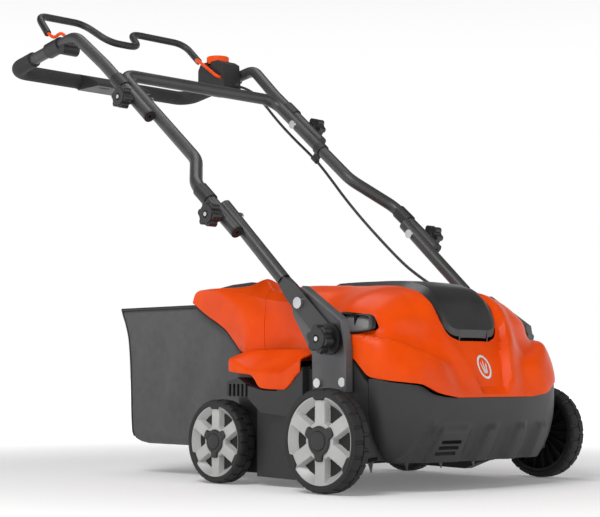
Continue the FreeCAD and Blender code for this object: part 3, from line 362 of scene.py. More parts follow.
# Closed-cell foam grip: matt, with fine pores.
FOAM = Finish("closed_cell_foam", "#2B2B2C", "#232323", Grain.FOAM, 0.8, relief_mm=1.4,
              depth_mm=0.05)
# Soft PVC cable sheath, extruded: black with a slight shine.
SHEATH = Finish("extruded_pvc_sheath", "#232324", "#1C1C1D", Grain.POLISHED, 0.42,
                depth_mm=0.002)
# The badge's plain light grey print.
BADGE = Finish("pad_printed_grey_ink", "#D9DADB", "#CFD0D1", Grain.POLISHED, 0.5)


# ---- mesh helpers -----------------------------------------------------------------------------
def new_piece(name: str, points: Iterable[Vector], faces: Iterable[Sequence[int]],
              angle: float = 35.0) -> bpy.types.Object:
    """Makes a mesh object in the scene.

    Args:
        name: The object's name.
        points: Its corners in metres.
        faces: Its faces as corner numbers.
        angle: Edges sharper than this many degrees stay crisp.

    Returns:
        The new object.
    """
    mesh = bpy.data.meshes.new(name)
    mesh.from_pydata([tuple(p) for p in points], [], [tuple(f) for f in faces])
    mesh.validate()
    mesh.update()
    piece = bpy.data.objects.new(name, mesh)
    bpy.context.scene.collection.objects.link(piece)
    smooth(piece, angle)
    return piece


def smooth(piece: bpy.types.Object, angle: float) -> None:
    """Shades a piece smoothly, apart from edges sharper than an angle in degrees."""
    piece.data.shade_smooth()
    piece.data.set_sharp_from_angle(angle=math.radians(angle))


def grid_faces(rows: int, columns: int, closed: bool = False, start: int = 0
               ) -> list[tuple[int, ...]]:
    """Lists the quads between rows of corners.

    Args:
        rows: How many rows there are.
        columns: How many corners a row has.
        closed: Whether each row joins its own start.
        start: The number of the first corner.

    Returns:
        The quads as corner numbers.
    """
    faces = []
    for i in range(rows - 1):
        for j in range(columns if closed else columns - 1):
            k = (j + 1) % columns
            faces.append((start + i * columns + j, start + i * columns + k,
                          start + (i + 1) * columns + k, start + (i + 1) * columns + j))
    return faces


def from_rows(name: str, rows: Sequence[Sequence[Vector]], angle: float = 30.0,
              closed: bool = True, capped: bool = False) -> bpy.types.Object:
    """Joins rows of equal length into a piece.

    Args:
        name: The piece's name.
        rows: The rows of points, in metres.
        angle: The angle in degrees over which an edge stays sharp.
        closed: Whether each row is a ring.
        capped: Whether one face closes the last ring.

    Returns:
        The piece.
    """
    points = [spot for row in rows for spot in row]
    faces = grid_faces(len(rows), len(rows[0]), closed=closed)
    if capped:
        faces.append(tuple(range(len(points) - len(rows[0]), len(points))))
    return new_piece(name, points, faces, angle)


def modify(piece: bpy.types.Object, kind: str, **settings) -> None:
    """Adds a modifier to a piece and applies it to its mesh.

    Args:
        piece: The piece to change.
        kind: The modifier's type.
        **settings: The modifier's properties.
    """
    modifier = piece.modifiers.new(kind.lower(), kind)
    for key, value in settings.items():
        setattr(modifier, key, value)
    bpy.context.view_layer.update()
    shaped = piece.evaluated_get(bpy.context.evaluated_depsgraph_get())
    mesh = bpy.data.meshes.new_from_object(shaped)
    piece.modifiers.remove(modifier)
    old = piece.data
    piece.data = mesh
    bpy.data.meshes.remove(old)


def thicken(piece: bpy.types.Object, wall_mm: float, offset: float = -1.0) -> None:
    """Gives an open sheet a wall, inwards unless offset says otherwise."""
    modify(piece, "SOLIDIFY", thickness=wall_mm * MM, offset=offset, use_even_offset=False)


def cut(piece: bpy.types.Object, tool: bpy.types.Object) -> None:
    """Cuts a closed tool out of a closed piece, and removes the tool."""
    modify(piece, "BOOLEAN", operation="DIFFERENCE", solver="EXACT", object=tool)
    bpy.data.objects.remove(tool)


def round_edges(piece: bpy.types.Object, radius_mm: float, segments: int = 3,
                angle: float = 35.0) -> None:
    """Rounds the edges of a piece that are sharper than an angle in degrees."""
    modify(piece, "BEVEL", width=radius_mm * MM, segments=segments, limit_method="ANGLE",
           angle_limit=math.radians(angle), use_clamp_overlap=True)
    smooth(piece, angle)


def slab(name: str, outline: Sequence[Pair], x0: float, x1: float, radius_mm: float = 0.0,
         segments: int = 3) -> bpy.types.Object:
    """Makes a plate from a (y, z) outline between two x values, with rounded edges.

    Args:
        name: The object's name.
        outline: The corners (y, z) in millimetres from the front axle.
        x0: One face's x.
        x1: The other face's x.
        radius_mm: The edges' radius.
        segments: How many steps an edge's radius has.

    Returns:
        The new object.
    """
    count = len(outline)
    low, high = sorted((x0, x1))
    area = sum(a[0] * b[1] - b[0] * a[1] for a, b in zip(outline, [*outline[1:], outline[0]]))
    ring = list(outline) if area > 0 else list(outline)[::-1]
    points = [at(x, y, z) for x in (low, high) for y, z in ring]
    faces = [tuple(range(count))[::-1], tuple(range(count, 2 * count))]
    faces += [(i, (i + 1) % count, count + (i + 1) % count, count + i) for i in range(count)]
    piece = new_piece(name, points, faces)
    if radius_mm:
        round_edges(piece, radius_mm, segments)
    return piece


def prism(name: str, outline: Sequence[Pair], z0: float, z1: float) -> bpy.types.Object:
    """Makes an upright prism from an (x, y) outline, as a tool to cut with."""
    count = len(outline)
    points = [at(x, y, z) for z in (z0, z1) for x, y in outline]
    faces = [tuple(range(count))[::-1], tuple(range(count, 2 * count))]
    faces += [(i, (i + 1) % count, count + (i + 1) % count, count + i) for i in range(count)]
    piece = new_piece(name, points, faces)
    turn_outwards(piece)
    return piece


def turn_outwards(piece: bpy.types.Object) -> None:
    """Makes every face of a closed piece look outwards."""
    shape = bmesh.new()
    shape.from_mesh(piece.data)
    bmesh.ops.recalc_face_normals(shape, faces=shape.faces)
    shape.to_mesh(piece.data)
    shape.free()


def rounded(outline: Sequence[Pair], radius: float, steps: int = 5) -> list[Pair]:
    """Rounds the corners of a closed outline.

    Args:
        outline: The corners.
        radius: The distance cut back from each corner, limited by its sides.
        steps: How many points each corner gets.

    Returns:
        The rounded outline.
    """
    result = []
    count = len(outline)
    for i in range(count):
        before, here, after = (Vector(outline[(i + k) % count]) for k in (-1, 0, 1))
        first = here + (before - here).normalized() * min(radius, (before - here).length * 0.45)
        last = here + (after - here).normalized() * min(radius, (after - here).length * 0.45)
        for k in range(steps + 1):
            t = k / steps
            spot = first * (1 - t) ** 2 + here * 2 * t * (1 - t) + last * t * t
            result.append((spot[0], spot[1]))
    return result


def tube(name: str, line: Sequence[Vector], radius: Callable[[float], float],
         sides: int = 20, squash: float = 1.0) -> bpy.types.Object:
    """Makes a round bar along a line of close points, with flat capped ends.

    Args:
        name: The object's name.
        line: The points in metres.
        radius: The radius in millimetres for a share of the length.
        sides: How many sides the bar has.
        squash: The bar's height over its width.

    Returns:
        The new object.
    """
    points: list[Vector] = []
    up = Vector((0.0, 0.31, 0.95))
    last = len(line) - 1
    for i, here in enumerate(line):
        ahead = (line[min(i + 1, last)] - line[max(i - 1, 0)]).normalized()
        side = ahead.cross(up)
        side = side.normalized() if side.length > 1e-4 else ahead.orthogonal().normalized()
        up = side.cross(ahead).normalized()
        size = radius(i / last) * MM
        for k in range(sides):
            turn = math.tau * k / sides
            points.append(here + side * math.cos(turn) * size
                          + up * math.sin(turn) * size * squash)
    faces = grid_faces(len(line), sides, closed=True)
    faces.append(tuple(range(sides))[::-1])
    faces.append(tuple(range(last * sides, (last + 1) * sides)))
    piece = new_piece(name, points, faces, 50.0)
    turn_outwards(piece)
    return piece


def soft_line(corners: Sequence[Vector], bend_mm: float, step_mm: float = 3.0) -> list[Vector]:
    """Joins corners by straight runs and smooth bends, as close points.

    Args:
        corners: The corners in metres.
        bend_mm: How far from each corner its bend starts.
        step_mm: The distance between points.

    Returns:
        The points in metres.
    """
    result = [corners[0]]
    for before, here, after in zip(corners, corners[1:], corners[2:]):
        reach_in = min(bend_mm * MM, (before - here).length * 0.48)
        reach_out = min(bend_mm * MM, (after - here).length * 0.48)
        first = here + (before - here).normalized() * reach_in
        last = here + (after - here).normalized() * reach_out
        result += _steps(result[-1], first, step_mm)
        for k in range(1, 11):
            t = k / 10
            result.append(first * (1 - t) ** 2 + here * 2 * t * (1 - t) + last * t * t)
    return result + _steps(result[-1], corners[-1], step_mm)


def _steps(start: Vector, end: Vector, step_mm: float) -> list[Vector]:
    """Lists the points after start on the way to end."""
    count = max(1, round((end - start).length / (step_mm * MM)))
    return [start.lerp(end, k / count) for k in range(1, count + 1)]


def turned(name: str, profile: Sequence[Pair], centre: Pair, steps: int = 48,
           reshape: Callable[[float, float, float], float] | None = None) -> bpy.types.Object:
    """Makes a body turned about an axle along X.

    Args:
        name: The object's name.
        profile: (x, radius) pairs in millimetres.
        centre: The axle's (y, z) place.
        steps: How many steps a turn has.
        reshape: Gives the radius for an angle, an x and a radius.

    Returns:
        The new object.
    """
    points = []
    for x, radius in profile:
        for k in range(steps):
            turn = math.tau * k / steps
            size = reshape(turn, x, radius) if reshape else radius
            points.append(at(x, centre[0] + size * math.cos(turn),
                             centre[1] + size * math.sin(turn)))
    return new_piece(name, points, grid_faces(len(profile), steps, closed=True))


def merge(name: str, pieces: Sequence[bpy.types.Object]) -> bpy.types.Object:
    """Joins several pieces, with their materials, into one object.

    Args:
        name: The joined object's name.
        pieces: The pieces, which are used up.

    Returns:
        The joined object.
    """
    shape = bmesh.new()
    materials: list[bpy.types.Material] = []
    for piece in pieces:
        numbers = []
        for slot in piece.data.materials:
            if slot not in materials:
                materials.append(slot)
            numbers.append(materials.index(slot))
        first = len(shape.faces)
        shape.from_mesh(piece.data)
        shape.faces.ensure_lookup_table()
        for face in shape.faces[first:]:
            face.material_index = numbers[face.material_index] if numbers else 0
    mesh = bpy.data.meshes.new(name)
    shape.to_mesh(mesh)
    shape.free()
    for material in materials:
        mesh.materials.append(material)
    for piece in pieces:
        bpy.data.objects.remove(piece)
    whole = bpy.data.objects.new(name, mesh)
    bpy.context.scene.collection.objects.link(whole)
    return whole


def dress(piece: bpy.types.Object, finish: Finish | WovenBag) -> bpy.types.Object:
    """Gives a piece one finish all over, and gives the piece back."""
    piece.data.materials.clear()
    piece.data.materials.append(finish.build())
    return piece


def settle(piece: bpy.types.Object, body: str, slot: str, *nodes: str) -> None:
    """Puts a piece on its body, in place of CAD nodes.

    Args:
        piece: The finished piece.
        body: The CAD body that it rides on.
        slot: The record's material slot; it is not used.
        *nodes: The CAD nodes it stands for.
    """
    if nodes:
        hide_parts(*nodes)
    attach(piece, body)
    log.info("%s rides on %s", piece.name, body)


# ---- wheels -----------------------------------------------------------------------------------
def turn_from(degrees: float, middles: Sequence[float]) -> float:
    """Gives the angle between a direction and the nearest of some others."""
    return min(abs((degrees - middle + 180) % 360 - 180) for middle in middles)


@dataclass
class Wheel:
    """A plastic wheel: treaded rubber tyre, six-spoke silver rim and a three-lobed hub cap."""

    place: str
    side: str
    radius: float
    outer_x: float
    width: float = 40.0
    rim_share: float = 0.857
    lugs: int = 22
    spokes: int = 6

    def __post_init__(self) -> None:
        """Works out where the wheel stands."""
        self.name = f"{self.place}_{self.side}"
        self.sign = 1.0 if self.side == "left" else -1.0
        self.centre = joint_place(f"wheel_{self.name}_spin")
        self.rim = self.radius * self.rim_share
        self.hub = self.radius * 0.25

    def x(self, inset: float) -> float:
        """Gives the x that lies inset from the wheel's outer face, in millimetres."""
        return self.sign * (self.outer_x - inset)

    def spot(self, inset: float, radius: float, degrees: float) -> Vector:
        """Gives a point on the wheel from its inset, radius and direction."""
        turn = math.radians(degrees)
        return at(self.x(inset), self.centre[0] + radius * math.cos(turn),
                  self.centre[1] + radius * math.sin(turn))

    def tread(self, turn: float, x: float, radius: float) -> float:
        """Lowers the grooves between staggered tread lugs.

        Args:
            turn: The angle round the axle, in radians.
            x: The place across the tread.
            radius: The full radius there.

        Returns:
            The radius with the grooves.
        """
        inset = abs(abs(x) - self.outer_x)
        if radius < self.radius * 0.955:
            return radius
        row = 0.5 if inset > self.width * 0.5 else 0.0
        share = (turn / math.tau * self.lugs + row) % 1.0
        flat = math.cos((share - 0.5) * math.tau / self.lugs)
        groove = 1 - ramp(abs(share - 0.5), 0.40, 0.44)
        return radius / flat * 0.996 - self.radius * 0.036 * (1 - groove)

    def tyre(self) -> bpy.types.Object:
        """Builds the tyre with its sidewalls and tread.

        Returns:
            The tyre.
        """
        r, rim, w = self.radius, self.rim, self.width
        outer = [(3.5, rim - 1.5), (2.2, rim - 0.5), (1.2, rim + 1.5), (1.0, rim + 4),
                 (2.2, rim + 4.6), (2.4, r * 0.945), (4.0, r * 0.972)]
        tread = [(6.0, r * 0.986), (9.0, r * 0.994), (13.0, r * 0.997), (w / 2 - 1.4, r * 0.998)]
        groove = [(w / 2 - 1.2, r * 0.975), (w / 2 + 1.2, r * 0.975)]
        inner = [(w / 2 + 1.4, r * 0.998), (w - 13, r * 0.997), (w - 8, r * 0.993),
                 (w - 4, r * 0.975), (w - 2, r * 0.93), (w - 1.6, rim + 2), (w - 3, rim)]
        profile = [(self.x(inset), size) for inset, size in outer + tread + groove + inner]
        steps = self.lugs * 14
        piece = turned("tyre", profile, self.centre, steps, self.tread)
        turn_outwards(piece)
        smooth(piece, 28.0)
        piece.data.materials.append(RUBBER.build())
        piece.data.materials.append(SIDEWALL.build())
        for face in piece.data.polygons:
            row = face.index // steps
            face.material_index = 1 if 1 <= row <= 4 else 0
        return piece

    def edge(self, degrees: float) -> float:
        """Gives the silver face's outer radius, which three dark tabs notch."""
        away = turn_from(degrees, (90.0, 210.0, 330.0))
        return self.radius * mix(0.765, 0.852, ramp(away, 7.5, 12.5))

    def depth(self, radius: float, degrees: float) -> float:
        """Gives the silver face's inset: flat spokes between windows with a long outer slope.

        Args:
            radius: The distance from the axle.
            degrees: The direction round the axle.

        Returns:
            The inset in millimetres.
        """
        share = radius / self.radius
        away = abs(degrees % (360.0 / self.spokes) - 180.0 / self.spokes)
        beside = share * math.sin(math.radians(away)) - 0.13
        wall = min(1.0, max(0.0, beside / 0.03))
        outer = min(1.0, max(0.0, (0.822 - share) / 0.13))
        inner = min(1.0, max(0.0, (share - 0.36) / 0.03))
        tab = min(1.0, max(0.0, (self.edge(degrees) / self.radius - 0.02 - share) / 0.03))
        flat = 4.6 - 2.0 * ramp(share, 0.70, 0.84) + 1.0 * ramp(share, 0.25, 0.5)
        return mix(flat, 16.0, min(wall, outer, inner, tab))

    def silver(self) -> bpy.types.Object:
        """Builds the rim's front face with its sloped windows and their dark floors.

        Returns:
            The rim.
        """
        steps, levels = 240, 44
        turns = [360.0 * k / steps for k in range(steps)]
        rows = []
        for i in range(levels + 1):
            reach = [mix(self.hub * 0.6, self.edge(turn), i / levels) for turn in turns]
            rows.append([self.spot(self.depth(radius, turn), radius, turn)
                         for radius, turn in zip(reach, turns)])
        rows.append([self.spot(9.0, self.edge(turn) + 0.3, turn) for turn in turns])
        piece = from_rows("rim_face", rows, 40.0)
        turn_outwards(piece)
        piece.data.materials.append(SILVER.build())
        piece.data.materials.append(RUBBER.build())
        floor = abs(self.x(15.0) * MM)
        for face in piece.data.polygons:
            deep = all(abs(piece.data.vertices[v].co.x) < floor for v in face.vertices)
            face.material_index = 1 if deep else 0
        return piece

    def ring(self) -> bpy.types.Object:
        """Builds the dark ring and tabs round the silver face.

        Returns:
            The ring.
        """
        turns = [3.0 * k for k in range(120)]
        rows = [[self.spot(9.0, self.edge(a) + 0.6, a) for a in turns],
                [self.spot(3.0, self.edge(a) + 0.9, a) for a in turns],
                [self.spot(2.2, min(self.edge(a) + 2.2, self.rim), a) for a in turns],
                [self.spot(2.2, self.rim - 0.1, a) for a in turns]]
        return dress(from_rows("ring", rows), SIDEWALL)

    def back(self) -> bpy.types.Object:
        """Builds the wheel's inner side: a dark dish with radial ribs.

        Returns:
            The inner side.
        """
        w, rim = self.width, self.rim
        profile = [(self.x(18.5), 3.0), (self.x(18.5), rim - 7), (self.x(w - 3), rim - 5),
                   (self.x(w - 3), rim + 0.5)]
        pieces = [turned("dish", profile, self.centre, 96)]
        hub = [(self.x(18.5), self.hub * 0.9), (self.x(w - 4), self.hub * 0.8),
               (self.x(w - 4), 6.5), (self.x(18.5), 6.5)]
        pieces.append(turned("socket", hub, self.centre, 48))
        for i in range(18):
            angle = 20.0 * i
            corners = []
            for inset, radius in ((18.5, self.hub * 0.8), (18.5, rim - 5.5), (w - 7, rim - 5.5),
                                  (w - 12, self.hub * 0.82)):
                for offset in (-1.0, 1.0):
                    corners.append(self.spot(inset, radius, angle
                                             + math.degrees(offset / radius)))
            faces = [(0, 2, 4, 6), (1, 7, 5, 3), (4, 5, 7, 6), (2, 3, 5, 4)]
            pieces.append(new_piece("rib", corners, faces))
        whole = merge("wheel_back", pieces)
        return dress(whole, BLACK)

    def cap(self) -> bpy.types.Object:
        """Builds the dark hub cap with three lobes and a plain boss.

        Returns:
            The cap.
        """
        turns = [5.0 * k for k in range(72)]
        rows = [[self.spot(inset, self.lobe(a) + grow, a) for a in turns]
                for inset, grow in ((8.0, 0.8), (2.8, 0.2), (1.2, -1.4), (0.8, -2.8))]
        boss = self.hub * 0.7
        rows += [[self.spot(inset, min(size, self.lobe(a) - 3.0), a) for a in turns]
                 for inset, size in ((1.4, boss + 1.6), (1.9, boss + 0.8), (0.4, boss),
                                     (0.1, boss - 1.4), (0.0, boss * 0.4))]
        piece = from_rows(f"hub_cap_piece_{self.name}", rows, capped=True)
        turn_outwards(piece)
        return dress(piece, KNOB)

    def lobe(self, degrees: float) -> float:
        """Gives the cap's radius for a direction: a disc with three rounded lobes."""
        away = turn_from(degrees, (30.0, 150.0, 270.0))
        return self.hub * (1.12 + 0.44 * (1 - ramp(away, 12.0, 24.0)))

    def build(self) -> None:
        """Builds the wheel and puts it on its body."""
        body = f"wheel_{self.name}"
        tyre = merge(f"tyre_piece_{self.name}", [self.tyre()])
        smooth(tyre, 28.0)
        settle(tyre, body, "tread_rubber", f"tyre_{self.name}")
        rim = merge(f"rim_piece_{self.name}", [self.silver(), self.ring(), self.back()])
        smooth(rim, 30.0)
        settle(rim, body, "silver_rim", f"rim_{self.name}")
        settle(self.cap(), body, "black_plastic", f"hub_cap_{self.name}")


# ---- hood, lid and apron ----------------------------------------------------------------------
Station = tuple[float, float, float, float, float]

# Where the columns of a cover's rows lie: the side, the shoulder's facet, then the roof.
SHARES = ([0.36 * k / 22 for k in range(22)] + [0.36 + 0.10 * k / 12 for k in range(12)]
          + [0.46 + 0.54 * k / 26 for k in range(27)])


def spread(line: Sequence[Pair], shares: Sequence[float]) -> list[Pair]:
    """Reads points at given shares of a line's length."""
    lengths = [0.0]
    for a, b in zip(line, line[1:]):
        lengths.append(lengths[-1] + math.dist(a, b))
    result, i = [], 0
    for share in shares:
        want = lengths[-1] * share
        while i < len(line) - 2 and lengths[i + 1] < want:
            i += 1
        t = (want - lengths[i]) / max(1e-9, lengths[i + 1] - lengths[i])
        result.append((mix(line[i][0], line[i + 1][0], t), mix(line[i][1], line[i + 1][1], t)))
    return result


def band_line(z: float) -> float:
    """Gives the y of the ridge where the flap's side turns into its trailing band."""
    return table(z, [(240, 306), (262, 299), (279, 299), (298, 303), (315, 318), (332, 339),
                     (346, 366), (357, 393), (366, 416)])


def edge_line(z: float) -> float:
    """Gives the y of the flap's trailing and lower edge at a height."""
    return table(z, [(238, 316), (258, 341), (281, 366), (297, 394), (307, 415), (320, 438),
                     (331, 454), (338, 461), (345, 462), (362, 460)])


def side_place(y: float, z: float) -> float:
    """Gives how far out the rear cover's side stands at a (y, z) place, in millimetres."""
    ahead = band_line(z) - y
    hollow = 11.0 * ramp(ahead, -2, 74) * (1 - 0.55 * ramp(ahead, 74, 190))
    foot = 7.0 * (1 - ramp(z, 240, 276)) * ramp(ahead, 20, 110)
    behind = max(0.0, -ahead) / max(12.0, edge_line(z) - band_line(z))
    return 205.0 - hollow - foot - 10.0 * min(1.0, behind)


def crease_height(y: float) -> float:
    """Gives the height of the groove under the shoulder's facet."""
    return table(y, [(100, 322), (200, 328), (256, 335), (330, 347), (393, 356), (430, 358)])


def shoulder_height(y: float) -> float:
    """Gives the height of the shoulder's ridge, with the lifting hump over the hinge."""
    return table(y, [(100, 354), (170, 347), (200, 346), (240, 350), (256, 357), (268, 367),
                     (280, 374.5), (290, 372), (314, 362), (345, 360), (393, 360), (446, 358.5),
                     (456, 352), (462, 340)])


def shoulder_section(y: float, low: float) -> tuple[list[Pair], list[Pair], list[Pair]]:
    """Gives half a cross section of the rear cover: its side, its facet and its roof.

    Args:
        y: The place along the machine.
        low: The height of its foot.

    Returns:
        The three lines of (x, z) points.
    """
    crease, top = crease_height(y), shoulder_height(y)
    crease = min(crease, top - 3.0)
    side = [(side_place(y, z), z) for z in (mix(low, crease, k / 30) for k in range(31))]
    foot = side[-1][0]
    lean = 0.62 * (top - crease)
    facet = [(foot, crease), (foot - 2.2, crease + 1.0), (foot - 1.6 - lean * 0.9, top - 1.2),
             (foot - 4.5 - lean, top)]
    inner = facet[-1][0]
    middle = table(y, [(100, 361), (249, 359), (300, 358), (430, 356), (452, 351), (462, 340)])
    roof = []
    for k in range(41):
        x = inner * (1 - k / 40)
        roof.append((x, mix(top, middle, ramp(inner - x, 0, 52))))
    return side, facet, roof


def spread_corners(parts: tuple[list[Pair], list[Pair], list[Pair]]) -> list[Pair]:
    """Gives each part of a section its own columns, so that its corners stay on them."""
    side, facet, roof = parts
    line = spread(side, [k / 22 for k in range(22)])
    line += spread(facet, [k / 12 for k in range(12)])
    return line + spread(roof, [k / 26 for k in range(27)])


@dataclass
class ArchSkin:
    """A skin of arches across the machine, which can be sculpted before it gets its wall."""

    name: str
    stations: list[Station]
    step: float = 4.0
    across: int = 120

    def station(self, y: float) -> Station:
        """Reads the smooth station at a place along the machine."""
        columns = [table(y, [(s[0], s[k]) for s in self.stations]) for k in range(1, 5)]
        return (y, *columns)

    def side_x(self, y: float, z: float) -> float:
        """Gives the half width of the skin at a (y, z) place."""
        _, half, low, top, power = self.station(y)
        share = min(1.0, max(0.0, (z - low) / (top - low)))
        return half * (1 - share ** power) ** (1 / power)

    def top_z(self, x: float, y: float) -> float:
        """Gives the height of the skin at an (x, y) place."""
        _, half, low, top, power = self.station(y)
        share = min(1.0, abs(x / half))
        return low + (top - low) * (1 - share ** power) ** (1 / power)

    def row(self, y: float) -> list[Triple]:
        """Lists the points of one arch in millimetres, from the left foot to the right."""
        _, half, low, top, power = self.station(y)
        arch = []
        for i in range(401):
            turn = math.pi / 2 * i / 400
            arch.append((math.cos(turn) ** (2 / power) * half,
                         low + (top - low) * math.sin(turn) ** (2 / power)))
        line = spread(arch, SHARES)
        square = ramp(y, 105, 200)
        if square > 0:
            rear = spread_corners(shoulder_section(y, low))
            line = [(mix(a[0], b[0], square), mix(a[1], b[1], square))
                    for a, b in zip(line, rear)]
        return [(x, y, z) for x, z in line] + [(-x, y, z) for x, z in line[:-1][::-1]]

    def build(self, sculpt: Callable[[float, float, float], float], wall: float,
              close_front: bool = False) -> bpy.types.Object:
        """Builds the skin with its wall.

        Args:
            sculpt: Gives how far the skin stands out at a place, in millimetres.
            wall: The wall's thickness in millimetres.
            close_front: Whether the first arch folds shut to its feet.

        Returns:
            The skin.
        """
        first, last = self.stations[0][0], self.stations[-1][0]
        count = round((last - first) / self.step)
        rows = [self.row(mix(first, last, i / count)) for i in range(count + 1)]
        if close_front:
            low = self.stations[0][2]
            rows.insert(0, [(x * 0.985, y - 0.6, mix(z, low, 0.5)) for x, y, z in rows[0]])
            rows.insert(0, [(x * 0.98, y, low) for x, y, z in rows[0]])
        places = [[Vector(p) for p in row] for row in rows]
        moved = []
        for i, row in enumerate(places):
            for j, spot in enumerate(row):
                along = places[min(i + 1, len(rows) - 1)][j] - places[max(i - 1, 0)][j]
                over = row[min(j + 1, self.across)] - row[max(j - 1, 0)]
                out = over.cross(along)
                out = out.normalized() if out.length > 1e-9 else Vector((0, 0, 1))
                if out.dot(spot - Vector((0, spot.y + 20, 150))) < 0:
                    out = -out
                moved.append(spot + out * sculpt(*spot))
        points = [at(*p) for p in moved]
        faces = [face[::-1] for face in grid_faces(len(rows), self.across + 1)]
        piece = new_piece(self.name, points, faces, 30.0)
        thicken(piece, wall)
        return piece


@dataclass
class Hood:
    """The orange hood with its lid, window inserts and badge."""

    seam_z: float = 158.0
    crown_z: float = 361.0
    badge_z: float = 210.0
    lid_nose_y: float = -74.0
    lid_tail_y: float = 208.0
    chamfer: float = 17.0
    window: list[Pair] = field(default_factory=lambda: [
        (46, 306), (-22, 299), (-34, 272), (8, 266), (38, 268)])

    def __post_init__(self) -> None:
        """Sets out the hood's arches."""
        seam, crown = self.seam_z, self.crown_z
        self.skin = ArchSkin("hood_shell", [
            (-123.0, 100.0, seam, 168.0, 2.6),
            (-113.0, 145.0, seam + 7, 196.0, 2.6),
            (-102.0, 179.0, seam + 23, 224.0, 2.6),
            (-88.0, 199.0, seam + 26, 252.0, 2.6),
            (-70.0, 217.0, 187.0, 286.0, 2.6),
            (-45.0, 229.0, 193.0, 328.0, 2.6),
            (-15.0, 232.0, 222.0, 349.0, 2.6),
            (30.0, 229.0, 256.0, 359.0, 2.6),
            (80.0, 212.0, 246.0, crown, 2.8),
            (130.0, 204.0, 222.0, crown, 3.4),
            (255.6, 203.0, 218.0, crown - 2, 4.5),
        ])

    def channel_half(self, y: float) -> float:
        """Gives the half width of the sunken middle band."""
        return table(y, [(-125, 37), (-121, 41), (-112, 48), (-100, 57), (-88, 70), (-78, 82),
                         (-60, 88), (-30, 91), (208, 92)])

    def lid_half(self, y: float) -> float:
        """Gives the lid's half width."""
        return table(y, [(-74, 38), (-73.3, 50), (-71.5, 59), (-67, 68), (-59, 75), (-44, 80),
                         (0, 82), (180, 80), (204, 76), (208, 70)])

    def sculpt(self, x: float, y: float, z: float) -> float:
        """Gives how far the hood stands out of its plain arches, in millimetres."""
        side = abs(x)
        half = self.channel_half(y)
        depth = mix(10.0, 2.0, ramp(y, -88, -46)) * (1 - ramp(y, 190, 215))
        sunk = depth * (1 - ramp(side, half - 4, half + 4)) * ramp(z, 166, 172)
        brow = 6.0 * (1 - ramp(side - half - 8, 2, 34)) * ramp(side - half, -4, 4)
        brow *= ramp(z, 165, 185) * (1 - ramp(y, -70, 10))
        crease = table(y, [(-122, 166), (-116, 190), (-105, 216), (-85, 238), (-56, 256),
                           (-20, 263), (20, 266), (60, 262), (100, 250)])
        near = ramp(side, 92, 135)
        cheek = 12.0 * (1 - ramp(z, crease - 4, crease + 4)) * near
        valley = -9.0 * (1 - ramp(abs(z - crease - 13), 2, 24)) * near
        fade = 1 - ramp(y, -4, 34)
        return brow - sunk + (cheek + valley) * fade

    def lid_outline(self, grow: float) -> list[Pair]:
        """Outlines the lid seen from above, grown by a gap."""
        nose = self.lid_nose_y
        ys = [nose - grow] + [mix(nose, 196, (k / 40) ** 1.6) for k in range(1, 41)]
        right = [(self.lid_half(max(nose, y)) + grow, y) for y in ys]
        right += [(80 + grow, 204), (78 + grow, 210), (74 + grow, 211.5)]
        return right + [(-x, y) for x, y in right[::-1]]

    def shell(self) -> bpy.types.Object:
        """Builds the hood with the openings for lid and windows.

        Returns:
            The hood.
        """
        hood = self.skin.build(self.sculpt, 3.5, close_front=True)
        cut(hood, prism("lid_tool", self.lid_outline(1.2), 225, 420))
        for sign in (-1, 1):
            cut(hood, slab("window_tool", rounded(self.window, 9), sign * 150, sign * 260))
        smooth(hood, 30.0)
        return dress(hood, ORANGE)

    def lid_height(self, x: float, y: float) -> float:
        """Gives the lid's height: an even panel inside one wide chamfer."""
        half = self.lid_half(y)
        base = self.skin.top_z(x, y)
        side = (half - abs(x)) / self.chamfer
        nose = (y - self.lid_nose_y) / 24.0
        tail = (self.lid_tail_y - y) / 12.0
        share = min(1.0, max(0.0, min(side, nose, tail)))
        return base - 3.0 + 9.5 * share

    def lid(self) -> bpy.types.Object:
        """Builds the dark battery lid.

        Returns:
            The lid.
        """
        ys = [-74.0, -73.6, -73, -72, -70.5, -69, -67, -65, -62, -59, -56, -53, -50, -47]
        ys += [mix(-44, 196, k / 50) for k in range(51)] + [198, 200, 202, 204, 205, 206.0]
        rows = []
        for y in ys:
            half = self.lid_half(y)
            inner = half - self.chamfer
            xs = [half - self.chamfer * k / 6 for k in range(7)]
            xs += [inner * (1 - k / 12) for k in range(1, 13)]
            xs += [-x for x in xs[:-1][::-1]]
            row = [(x, y, self.lid_height(x, y)) for x in xs]
            first, last = row[0], row[-1]
            drop = 1.5 + 10.5 * ramp(206 - y, 0, 24)
            rows.append([(first[0] - 1, y, first[2] - drop), *row,
                         (last[0] + 1, y, last[2] - drop)])
        rows.insert(0, [(x * 0.985, y + 1.5, z - 14) for x, y, z in rows[0]])
        rows.append([(x * 0.985, y - 1.5, z - 2.5) for x, y, z in rows[-1]])
        points = [at(*p) for row in rows for p in row]
        faces = [face[::-1] for face in grid_faces(len(rows), len(rows[0]))]
        piece = new_piece("battery_lid_piece", points, faces, 24.0)
        thicken(piece, 3.0)
        smooth(piece, 24.0)
        return dress(piece, LID)

    def side_ring(self, sign: float, outline: list[Pair], stand: float) -> list[Vector]:
        """Lays an outline on the hood's side, standing out by some millimetres."""
        return [at(sign * (self.skin.side_x(y, z) + stand), y, z) for y, z in outline]

    def windows(self) -> bpy.types.Object:
        """Builds both dark window frames and their split grey inserts.

        Returns:
            The window inserts.
        """
        pieces = []
        cy = sum(y for y, _ in self.window) / len(self.window)
        cz = sum(z for _, z in self.window) / len(self.window)

        def scaled(share: float) -> list[Pair]:
            """Shrinks the window's outline about its middle, and rounds its corners."""
            corners = [(cy + (y - cy) * share, cz + (z - cz) * share) for y, z in self.window]
            return rounded(corners, 9 * share)

